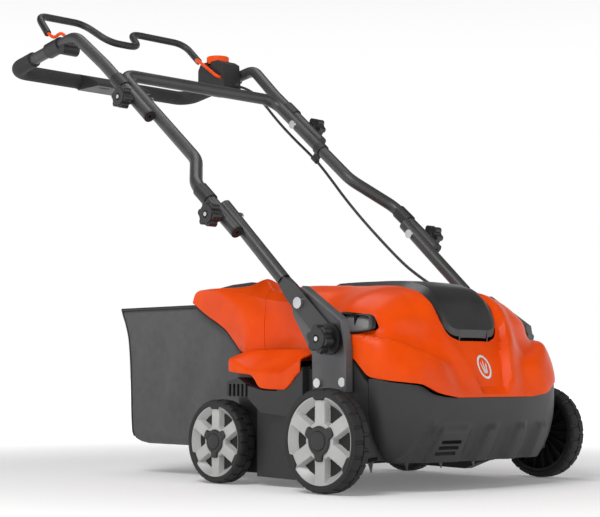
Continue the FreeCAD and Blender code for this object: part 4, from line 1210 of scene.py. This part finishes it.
        for sign in (-1.0, 1.0):
            rings = [self.side_ring(sign, scaled(share), stand) for share, stand in
                     ((0.99, -4), (0.99, 1.6), (0.95, 2.6), (0.84, 2.2), (0.80, 0.6), (0.78, -9))]
            pieces.append(dress(from_rows("frame", rings), BLACK))
            rings = [self.side_ring(sign, scaled(share), -8.5) for share in (0.82, 0.5, 0.02)]
            pieces.append(dress(from_rows("insert", rings, capped=True), GREY))
            split = slab("split", [(8, 268), (10.2, 268), (10.2, 302), (8, 302)],
                         sign * 190, sign * (self.skin.side_x(8, 285) - 7.0))
            pieces.append(dress(split, BLACK))
        whole = merge("window_inserts", pieces)
        turn_outwards(whole)
        smooth(whole, 35.0)
        return whole

    def badge(self, hood: bpy.types.Object) -> bpy.types.Object:
        """Builds a plain printed badge on the sunken front: a ring round three blades of grass.

        Args:
            hood: The hood that it lies on.

        Returns:
            The badge.
        """
        ring = [(17.0 * math.cos(t), 21.0 * math.sin(t)) for t in
                (math.tau * k / 48 for k in range(48))]
        inner = [(x * 0.78, y * 0.80) for x, y in ring]
        rows = [[self.on_front(hood, x, self.badge_z + z) for x, z in line]
                for line in (ring, inner)]
        pieces = [from_rows("ring", rows)]
        for lean, height in ((-5.5, 9.0), (0.0, 13.0), (5.5, 9.0)):
            blade = [(lean * 0.5 - 1.6, -11.0), (lean * 0.5 + 1.6, -11.0),
                     (lean * 1.1 + 0.9, height * 0.4), (lean * 1.5, height),
                     (lean * 1.1 - 1.3, height * 0.4)]
            spots = [self.on_front(hood, x, self.badge_z + z) for x, z in blade]
            pieces.append(new_piece("blade", spots, [(0, 1, 2, 3, 4)]))
        whole = merge("front_badge", pieces)
        thicken(whole, 0.7, 1.0)
        return dress(whole, BADGE)

    def on_front(self, hood: bpy.types.Object, x: float, z: float) -> Vector:
        """Finds the place just in front of the hood's front at an (x, z)."""
        hit, spot, _, _ = hood.ray_cast(at(x, -300, z), Vector((0, 1, 0)))
        return (spot if hit else at(x, -120, z)) - Vector((0, 0.25 * MM, 0))

    def build(self) -> None:
        """Builds the hood's pieces and puts them on their bodies."""
        hood = self.shell()
        settle(self.badge(hood), "chassis", "silver_rim")
        settle(hood, "chassis", "orange_shell", "top_cover")
        settle(self.lid(), "battery_lid", "dark_shell", "battery_lid")
        settle(self.windows(), "chassis", "grey_insert", "side_grips")


@dataclass
class Apron:
    """The dark front apron under the hood, with low bulges and a vent."""

    back_y: float = -47.0
    front_y: float = -122.0
    power: float = 2.35
    across: int = 180

    def half_width(self, z: float) -> float:
        """Gives the apron's half width at a height."""
        return table(z, [(49, 197), (60, 209), (75, 221), (92, 231), (112, 238), (132, 242),
                         (157, 243), (196, 243)])

    def depth(self, z: float) -> float:
        """Gives how far the apron's middle stands in front of its sides."""
        deep = self.back_y - self.front_y
        return table(z, [(49, deep - 19), (60, deep - 14), (80, deep - 9), (100, deep - 6),
                         (130, deep - 2), (157, deep), (196, deep)])

    def top(self, x: float) -> float:
        """Gives the height of the seam with the hood."""
        return table(abs(x), [(0, 157.2), (100, 157.6), (120, 158.6), (150, 164), (178, 178),
                              (200, 181), (225, 184), (243, 190)])

    def sculpt(self, x: float, z: float) -> float:
        """Gives how far the apron stands out of its plain outline, in millimetres."""
        low = 1 - ramp(z, 96, 118)
        out = 7.0 * (1 - ramp(abs(x + 108 - (z - 75) * 0.35), 30, 38)) * low
        for middle, half in ((-20.0, 17.0), (62.0, 17.0), (136.0, 20.0)):
            lean = middle + (z - 75) * 0.45
            out += 10.0 * (1 - ramp(abs(x - lean), half - 7, half + 7)) * low
        out += 5.0 * (1 - ramp(abs(x + 172 - (z - 80) * 0.7), 0, 10)) * (1 - ramp(z, 110, 128))
        return out + 1.5 * (1 - ramp(z, 49, 58))

    def build(self) -> None:
        """Builds the apron and puts it on the chassis."""
        rows = []
        levels = 30
        for i in range(levels + 1):
            row = []
            for j in range(self.across + 1):
                turn = math.pi * j / self.across
                side = math.cos(turn)
                rough = math.copysign(abs(side) ** (2 / self.power), side) * 243
                z = mix(49.0, self.top(rough), i / levels)
                x = rough / 243 * self.half_width(z)
                forward = self.depth(z) * abs(math.sin(turn)) ** (2 / self.power)
                row.append(self._moved(x, self.back_y - forward, z))
            rows.append(row)
        rows.insert(0, [(x * 0.98, y + 5, z + 4.0) for x, y, z in rows[0]])
        points = [at(*p) for row in rows for p in row]
        piece = new_piece("apron_shell", points, grid_faces(len(rows), self.across + 1), 32.0)
        turn_outwards(piece)
        if piece.data.polygons[len(piece.data.polygons) // 2].normal.y > 0:
            piece.data.flip_normals()
        thicken(piece, 3.5)
        for i in range(3):
            z = 61 + 9.5 * i
            left, right = -142 + 5 * i, -98 + 5 * i
            tool = prism("vent_tool", [(left, -150), (right, -150), (right, -50), (left, -50)],
                         z, z + 6.0)
            cut(piece, tool)
        smooth(piece, 32.0)
        settle(dress(piece, DARK), "chassis", "dark_shell", "front_apron")

    def _moved(self, x: float, y: float, z: float) -> Triple:
        """Moves a point of the apron outwards by its sculpting."""
        out = Vector((x * 0.5, y - self.back_y - 60, 0)).normalized() * self.sculpt(x, z)
        return x + out.x, y + out.y, z


# ---- rear flap and side covers -------------------------------------------------------
@dataclass
class RearFlap:
    """The orange rear flap: a roof with skirts that end in a bevelled band, and a black seal."""

    front_y: float = 256.3
    end_y: float = 462.0

    def foot(self, y: float) -> float:
        """Gives the height of the skirt's lower edge."""
        return table(y, [(256, 238), (314, 238), (321, 240), (341, 258), (366, 281), (394, 297),
                         (415, 307), (438, 320), (454, 330), (462, 334)])

    def build(self) -> None:
        """Builds the flap and puts it on its body."""
        rows = []
        for k in range(104):
            y = mix(self.front_y, self.end_y, k / 103)
            line = spread_corners(shoulder_section(y, self.foot(y)))
            rows.append([(x, y, z) for x, z in line] + [(-x, y, z) for x, z in line[:-1][::-1]])
        points = [at(*p) for row in rows for p in row]
        piece = new_piece("rear_flap_piece", points, grid_faces(len(rows), len(rows[0])), 26.0)
        if piece.data.polygons[len(rows[0]) // 2].normal.z < 0:
            piece.data.flip_normals()
        thicken(piece, 3.5)
        pieces = [dress(piece, ORANGE)]
        for sign in (-1, 1):
            seal = [at(sign * (side_place(y, self.foot(y)) - 5), y + 2.5, self.foot(y) - 2.0)
                    for y in (mix(318, 452, k / 50) for k in range(51))]
            pieces.append(dress(tube("seal", seal, lambda t: 3.4, 10), RUBBER))
        whole = merge("rear_flap_piece", pieces)
        smooth(whole, 26.0)
        settle(whole, "rear_flap", "orange_shell", "rear_flap")


@dataclass
class SideShelf:
    """The orange cover over the belt: an upright rim under a top that slopes up to the hood."""

    name: str
    sign: float
    outer_x: float = 262.0
    inner_x: float = 205.5

    def low(self, y: float) -> float:
        """Gives the height of the cover's lower edge."""
        return table(y, [(66, 223), (112, 192), (122, 181), (132, 174), (141, 170.5), (170, 171),
                         (198, 173), (206, 178), (214, 188), (225, 196), (255, 199), (290, 203)])

    def rim(self, y: float) -> float:
        """Gives the height of the rim between side and top."""
        return table(y, [(66, 237), (95, 227), (120, 213), (147, 203), (180, 203.5), (225, 208),
                         (250, 215), (271, 224), (290, 227)])

    def build(self) -> bpy.types.Object:
        """Builds the cover.

        Returns:
            The cover.
        """
        rows = []
        for k in range(66):
            y = mix(98.0, 288.0, k / 65)
            end = ramp(y, 276, 288)
            reach = self.outer_x - 5.0 * end * end
            low, rim = self.low(y), self.rim(y)
            rise = 242.0 - rim
            line = [(self.inner_x, low + 2), (reach - 3.0, low - 0.3), (reach - 0.8, low + 0.5),
                    (reach, low + 2.6), (reach, mix(low, rim, 0.5)), (reach - 0.2, rim - 6.0),
                    (reach - 1.3, rim - 2.4), (reach - 3.6, rim), (reach - 8, rim + 1.6)]
            line += [(mix(reach - 8, self.inner_x, t), rim + 1.6 + (rise - 1.6) * t)
                     for t in (0.15, 0.3, 0.45, 0.6, 0.75, 0.9, 1.0)]
            rows.append([(self.sign * x, y, z) for x, z in line])
        last = rows[-1]
        rows.append([(x * 0.995, y + 1.2, mix(z, 222, 0.12)) for x, y, z in last])
        rows.append([(mix(x, self.sign * 235, 0.9), y + 1.4, mix(z, 222, 0.9))
                     for x, y, z in last])
        points = [at(*p) for row in rows for p in row]
        piece = new_piece(self.name, points, grid_faces(len(rows), len(rows[0])), 30.0)
        turn_outwards(piece)
        shape = piece.data
        middle = shape.polygons[30 * (len(rows[0]) - 1) + 4]
        if middle.normal.x * self.sign < 0:
            shape.flip_normals()
        thicken(piece, 2.4)
        smooth(piece, 30.0)
        return dress(piece, ORANGE)


# ---- collector bag ----------------------------------------------------------------------------
@dataclass
class CollectorBag:
    """The woven collector bag: a sewn shell that sags between its stiff mouth and its seams."""

    mouth_y: float = 314.0
    half: float = 182.0
    floor_z: float = 59.0
    roof_z: float = 330.0

    def rear_y(self, z: float) -> float:
        """Gives where the bag's rear panel is at a height."""
        return table(z, [(57, 612), (59, 622), (63, 640), (70, 654), (85, 663), (120, 666),
                         (166, 668), (215, 671), (267, 677), (300, 688), (318, 697), (331, 702)])

    def section(self, inset: float) -> list[Pair]:
        """Outlines the bag across, inset towards its middle, as (x, z) points."""
        half, low, high = self.half - inset, self.floor_z + inset, self.roof_z - inset
        points: list[Pair] = []
        corners = ((half, low, 16.0, -90), (half, high, 9.0, 0), (-half, high, 9.0, 90),
                   (-half, low, 16.0, 180))
        for x, z, radius, start in corners:
            size = max(1.0, radius - inset * 0.2)
            cx = x - math.copysign(size, x)
            cz = z + size if z == low else z - size
            for k in range(7):
                turn = math.radians(start + 15 * k)
                points.append((cx + size * math.cos(turn), cz + size * math.sin(turn)))
        return spread([*points, points[0]], [k / 160 for k in range(160)])

    def sag(self, x: float, y: float, z: float) -> Triple:
        """Moves a point of the plain shell to where the slack fabric hangs."""
        along = (y - self.mouth_y) / (self.rear_y(z) - self.mouth_y)
        height = (z - self.floor_z) / (self.roof_z - self.floor_z)
        length_bow = math.sin(math.pi * min(1, max(0, along)))
        height_bow = math.sin(math.pi * min(1, max(0, height)))
        side = math.copysign(1, x) * ramp(abs(x), 120, 180)
        folds = 2.2 * math.sin(y * 0.055 + z * 0.021) + 1.4 * math.sin(z * 0.062 - y * 0.034 + 1.2)
        folds += 1.1 * math.sin(y * 0.021 - z * 0.094 + 0.4)
        x -= side * length_bow * height_bow * (6.0 - folds)
        across = math.cos(math.pi / 2 * min(1, abs(x) / self.half))
        z -= 4.0 * across * length_bow * (0.4 + 0.6 * height)
        y -= 7.0 * across * ramp(along, 0.6, 1) * height_bow
        return x, y, z

    def build(self) -> None:
        """Builds the bag with its hems and puts it on the collector."""
        rows = []
        outline = self.section(0)
        for i in range(49):
            share = i / 48
            rows.append([(x, mix(self.mouth_y, self.rear_y(z), share), z) for x, z in outline])
        for inset in (1.5, 4, 9, 18, 32, 50, 72, 96, 118):
            rows.append([(x, self.rear_y(z) + 0.5, z) for x, z in self.section(inset)])
        points = [at(*self.sag(*p)) for row in rows for p in row]
        faces = grid_faces(len(rows), len(outline), closed=True)
        last = (len(rows) - 1) * len(outline)
        faces.append(tuple(range(last, last + len(outline))))
        cloth = new_piece("collector_cloth", points, faces, 40.0)
        turn_outwards(cloth)
        thicken(cloth, 2.2)
        smooth(cloth, 40.0)
        dress(cloth, WovenBag())
        pieces = [cloth]
        for x in (-self.half, self.half):
            seam = [at(*self.sag(x, mix(self.mouth_y, 700, k / 60), 328.5)) for k in range(61)]
            pieces.append(dress(tube("hem", seam, lambda t: 3.2, 10), SHEATH))
            edge = [at(*self.sag(x, self.rear_y(z) - 1, z)) for z in
                    (mix(74, 327, k / 60) for k in range(61))]
            pieces.append(dress(tube("seam", edge, lambda t: 2.0, 10), SHEATH))
        back = [at(*self.sag(x, 700, 328.5)) for x in
                (mix(-self.half, self.half, k / 60) for k in range(61))]
        pieces.append(dress(tube("hem", back, lambda t: 3.2, 10), SHEATH))
        whole = merge("collector_bag_piece", pieces)
        smooth(whole, 40.0)
        settle(whole, "collector", "bag_fabric", "collector_bag")


# ---- handle -----------------------------------------------------------------------------------
@dataclass
class Bail:
    """The squeeze bar over the grip, with its two orange pivot links."""

    bar_radius: float = 8.0
    link_radius: float = 3.6

    def build(self) -> None:
        """Builds the bail and puts it on its body."""
        route = [(-216, 928, 936), (-210, 978, 986), (-68, 1004, 994), (-42, 938, 946),
                 (42, 938, 946), (68, 1004, 994), (210, 978, 986), (216, 928, 936)]
        bar = tube("bar", soft_line([at(*p) for p in route], 30), lambda t: self.bar_radius, 24)
        round_edges(bar, 2.0, 3, 60)
        pieces = [dress(bar, BLACK)]
        right = [(-216, 934, 942), (-216, 906, 922), (-216, 880, 932), (-216, 846, 906),
                 (-216, 815, 880), (-240, 815, 880)]
        left = [(216, 934, 942), (200, 912, 926), (174, 892, 934), (174, 852, 906),
                (174, 815, 880), (200, 815, 880)]
        for route in (right, left):
            line = soft_line([at(*p) for p in route], 14, 2.0)
            pieces.append(dress(tube("link", line, lambda t: self.link_radius, 16), ORANGE))
        whole = merge("bail_bar_piece", pieces)
        smooth(whole, 50.0)
        settle(whole, "bail", "black_plastic", "bail_bar")


@dataclass
class PowerCable:
    """One run of the power cable, on the smooth curve through its route."""

    name: str
    route: Sequence[Triple]
    bodies: tuple[str, str]
    fold: Pair
    diameter: float = 6.0

    def line(self) -> list[Vector]:
        """Reads close points from the route's NURBS curve.

        Returns:
            The points in metres, from the exit to the far end.
        """
        curve = bpy.data.curves.new(self.name + "_line", "CURVE")
        curve.dimensions = "3D"
        curve.resolution_u = 24
        spline = curve.splines.new("NURBS")
        spline.points.add(len(self.route) - 1)
        for point, place in zip(spline.points, self.route):
            point.co = (*at(*place), 1.0)
        spline.order_u = 3
        spline.use_endpoint_u = True
        holder = bpy.data.objects.new(self.name + "_line", curve)
        bpy.context.scene.collection.objects.link(holder)
        mesh = bpy.data.meshes.new_from_object(holder)
        points = [vertex.co.copy() for vertex in mesh.vertices]
        bpy.data.objects.remove(holder)
        bpy.data.meshes.remove(mesh)
        return points

    def build(self) -> None:
        """Builds the sheathed cable in place of its CAD node."""
        points = self.line()
        cable = tube(self.name + "_piece", points, lambda t: self.diameter / 2, 16)
        dress(cable, SHEATH)
        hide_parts(self.name)
        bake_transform(cable)


# ---- carried-over parts -----------------------------------------------------------------------
@dataclass
class MachinedParts:
    """The CAD parts whose shape is right already: they get softened edges and real finishes."""

    finishes: dict[str, tuple[Finish, float]] = field(default_factory=lambda: {
        "lower_housing": (DARK, 1.5), "side_casing_": (DARK, 1.8), "side_covers": (ORANGE, 2.5),
        "bracket_left": (PLATE, 0.8), "bracket_right": (PLATE, 0.8), "bracket_bolts": (BOLT, 0.8),
        "lower_tube_": (TUBE, 0.6), "middle_tube": (TUBE, 0.6), "upper_tube": (TUBE, 0.6),
        "middle_fittings": (BLACK, 0.8), "upper_fittings": (BLACK, 0.8), "grip_": (FOAM, 2.0),
        "grip_bracket": (BLACK, 1.2), "bail_hub": (BLACK, 1.0), "control_box": (BLACK, 2.2),
        "start_button": (ORANGE, 1.5), "height_knob_": (KNOB, 2.0), "fold_knob_": (KNOB, 2.0),
        "handle_bolts_": (BOLT, 0.8), "clamp_discs": (BLACK, 1.5), "battery_bay": (DARK, 0.8),
        "battery_pack": (BLACK, 2.0), "wheel_axles": (STEEL, 0.5), "rotor_shaft": (STEEL, 0.5),
        "rotor_bearings": (BLACK, 0.8), "rotor_tines": (STEEL, 0.3), "rotor_pulley": (BLACK, 0.5),
        "drive_belt": (RUBBER, 0.3), "motor_pulley": (BLACK, 0.4), "motor": (STEEL, 0.8),
        "collector_frame": (DARK, 1.2),
    })

    def finish_of(self, node: str) -> tuple[Finish, float]:
        """Finds a node's finish and edge radius by the longest matching name."""
        match = max((key for key in self.finishes if node.startswith(key)), key=len,
                    default="lower_housing")
        return self.finishes[match]

    def build(self) -> None:
        """Dresses every carried-over part that shows."""
        for node, made in frame["nodes"].items():
            piece = made if isinstance(made, bpy.types.Object) else bpy.data.objects[node]
            if piece.hide_render:
                continue
            finish, radius = self.finish_of(node)
            material = finish.build()
            for slot in piece.material_slots:
                slot.material = material
            bevel = piece.modifiers.new("softened edges", "BEVEL")
            bevel.width = radius * MM
            bevel.segments = 2
            bevel.limit_method = "ANGLE"
            bevel.angle_limit = math.radians(38)
            bevel.use_clamp_overlap = True
            log.info("%s wears %s", node, finish.name)


# ---- camera and studio ------------------------------------------------------------------------
@dataclass
class Studio:
    """The camera, the soft lights and the pale floor."""

    camera_place: Triple = (-2081.98, -1764.08, 197.46)
    azimuth: float = -44.361
    elevation: float = -4.395
    lens: float = 90.34

    def camera(self) -> None:
        """Makes the scene's camera."""
        turn, lift = math.radians(self.azimuth), math.radians(self.elevation)
        back = Vector((math.sin(turn) * math.cos(lift), -math.cos(turn) * math.cos(lift),
                       math.sin(lift)))
        data = bpy.data.cameras.new("camera")
        data.lens = self.lens
        data.sensor_width = 36.0
        data.clip_start = 0.05
        data.clip_end = 60.0
        camera = bpy.data.objects.new("camera", data)
        camera.location = at(*self.camera_place)
        camera.rotation_euler = (-back).to_track_quat("-Z", "Y").to_euler()
        bpy.context.scene.collection.objects.link(camera)
        bpy.context.scene.camera = camera

    def light(self, name: str, place: Triple, size: float, power: float) -> None:
        """Makes one soft box that looks at the machine.

        Args:
            name: The light's name.
            place: Where it hangs, in metres.
            size: Its width and height in metres.
            power: Its power in watts.
        """
        data = bpy.data.lights.new(name, "AREA")
        data.energy = power
        data.size = size
        lamp = bpy.data.objects.new(name, data)
        lamp.location = place
        aim = Vector((0.0, -0.05, 0.35)) - Vector(place)
        lamp.rotation_euler = aim.to_track_quat("-Z", "Y").to_euler()
        bpy.context.scene.collection.objects.link(lamp)

    def world(self) -> None:
        """Makes the white surroundings, dimmer overhead and underfoot than at the horizon."""
        world = bpy.data.worlds.new("white_hall")
        world.use_nodes = True
        tree = world.node_tree
        tree.nodes.clear()
        where = add_node(tree, "ShaderNodeTexCoord")
        split = add_node(tree, "ShaderNodeSeparateXYZ", {}, {"Vector": where.outputs["Generated"]})
        height = add_node(tree, "ShaderNodeMath", {".operation": "ABSOLUTE"},
                          {0: split.outputs["Z"]})
        share = add_node(tree, "ShaderNodeMapRange",
                         {".interpolation_type": "SMOOTHSTEP", "From Min": 0.2, "From Max": 0.5,
                          "To Min": 1.0, "To Max": 0.12}, {"Value": height.outputs[0]})
        shade = add_node(tree, "ShaderNodeBackground", {"Color": linear("#FFFFFF")},
                         {"Strength": share.outputs["Result"]})
        add_node(tree, "ShaderNodeOutputWorld", {}, {"Surface": shade.outputs[0]})
        bpy.context.scene.world = world

    def floor(self) -> None:
        """Makes the pale floor, which glows more the further it runs from the machine."""
        size = 40.0
        points = [Vector((x, y, -0.0002)) for x, y in
                  ((-size, -size), (size, -size), (size, size), (-size, size))]
        material, tree = empty_material("matt_studio_floor")
        where = add_node(tree, "ShaderNodeTexCoord").outputs["Object"]
        away = add_node(tree, "ShaderNodeVectorMath", {".operation": "LENGTH"},
                        {0: where}).outputs["Value"]
        glow = add_node(tree, "ShaderNodeMapRange",
                        {".interpolation_type": "SMOOTHSTEP", "From Min": 0.5, "From Max": 2.4,
                         "To Min": 0.14, "To Max": 1.0}, {"Value": away}).outputs["Result"]
        shader = add_node(tree, "ShaderNodeBsdfPrincipled",
                          {"Base Color": linear("#EDEDED"), "Roughness": 0.9,
                           "Specular IOR Level": 0.1, "Emission Color": linear("#FFFFFF")},
                          {"Emission Strength": glow})
        add_node(tree, "ShaderNodeOutputMaterial", {}, {"Surface": shader.outputs["BSDF"]})
        floor = new_piece("studio_floor", points, [(0, 1, 2, 3)])
        floor.data.materials.append(material)

    def build(self) -> None:
        """Sets up the light and the floor."""
        bpy.context.scene.view_settings.view_transform = "Standard"
        self.world()
        self.floor()
        self.light("key_softbox", (-1.9, -0.7, 2.4), 1.3, 46.0)
        self.light("front_softbox", (0.8, -2.8, 1.2), 1.8, 9.0)
        self.light("top_softbox", (0.3, 0.5, 2.8), 1.4, 16.0)


def main() -> None:
    """Builds the machine's looks in order, and reports each piece."""
    logging.basicConfig(level=logging.INFO, format="%(message)s")
    studio = Studio()
    studio.camera()
    PowerCable("cable_upper", [
        (222, 793, 860), (222, 756.6, 849.1), (223, 712, 812), (222, 665, 765), (220, 612, 720),
        (214, 555.2, 678.4), (214, 536.8, 662.9)], ("handle_upper", "handle_middle"),
        joint_place("fold_upper")).build()
    PowerCable("cable_lower", [
        (214, 536.8, 662.9), (214, 516.9, 646.2), (205, 414, 543), (198, 278, 428),
        (195, 222, 392), (191, 168, 364), (188, 126, 334), (184, 92, 288)],
        ("handle_middle", "handle_lower"), joint_place("fold_lower")).build()
    studio.build()
    for place, radius, outer_x in (("front", 87.5, 317.0), ("rear", 76.0, 276.0)):
        for side in ("left", "right"):
            Wheel(place, side, radius, outer_x).build()
    Hood().build()
    Apron().build()
    RearFlap().build()
    shelves = merge("side_shelves", [SideShelf("shelf", -1.0).build(),
                                     SideShelf("shelf", 1.0).build()])
    smooth(shelves, 30.0)
    settle(shelves, "chassis", "orange_shell", "side_covers")
    CollectorBag().build()
    Bail().build()
    MachinedParts().build()


if __name__ == "__main__":
    main()
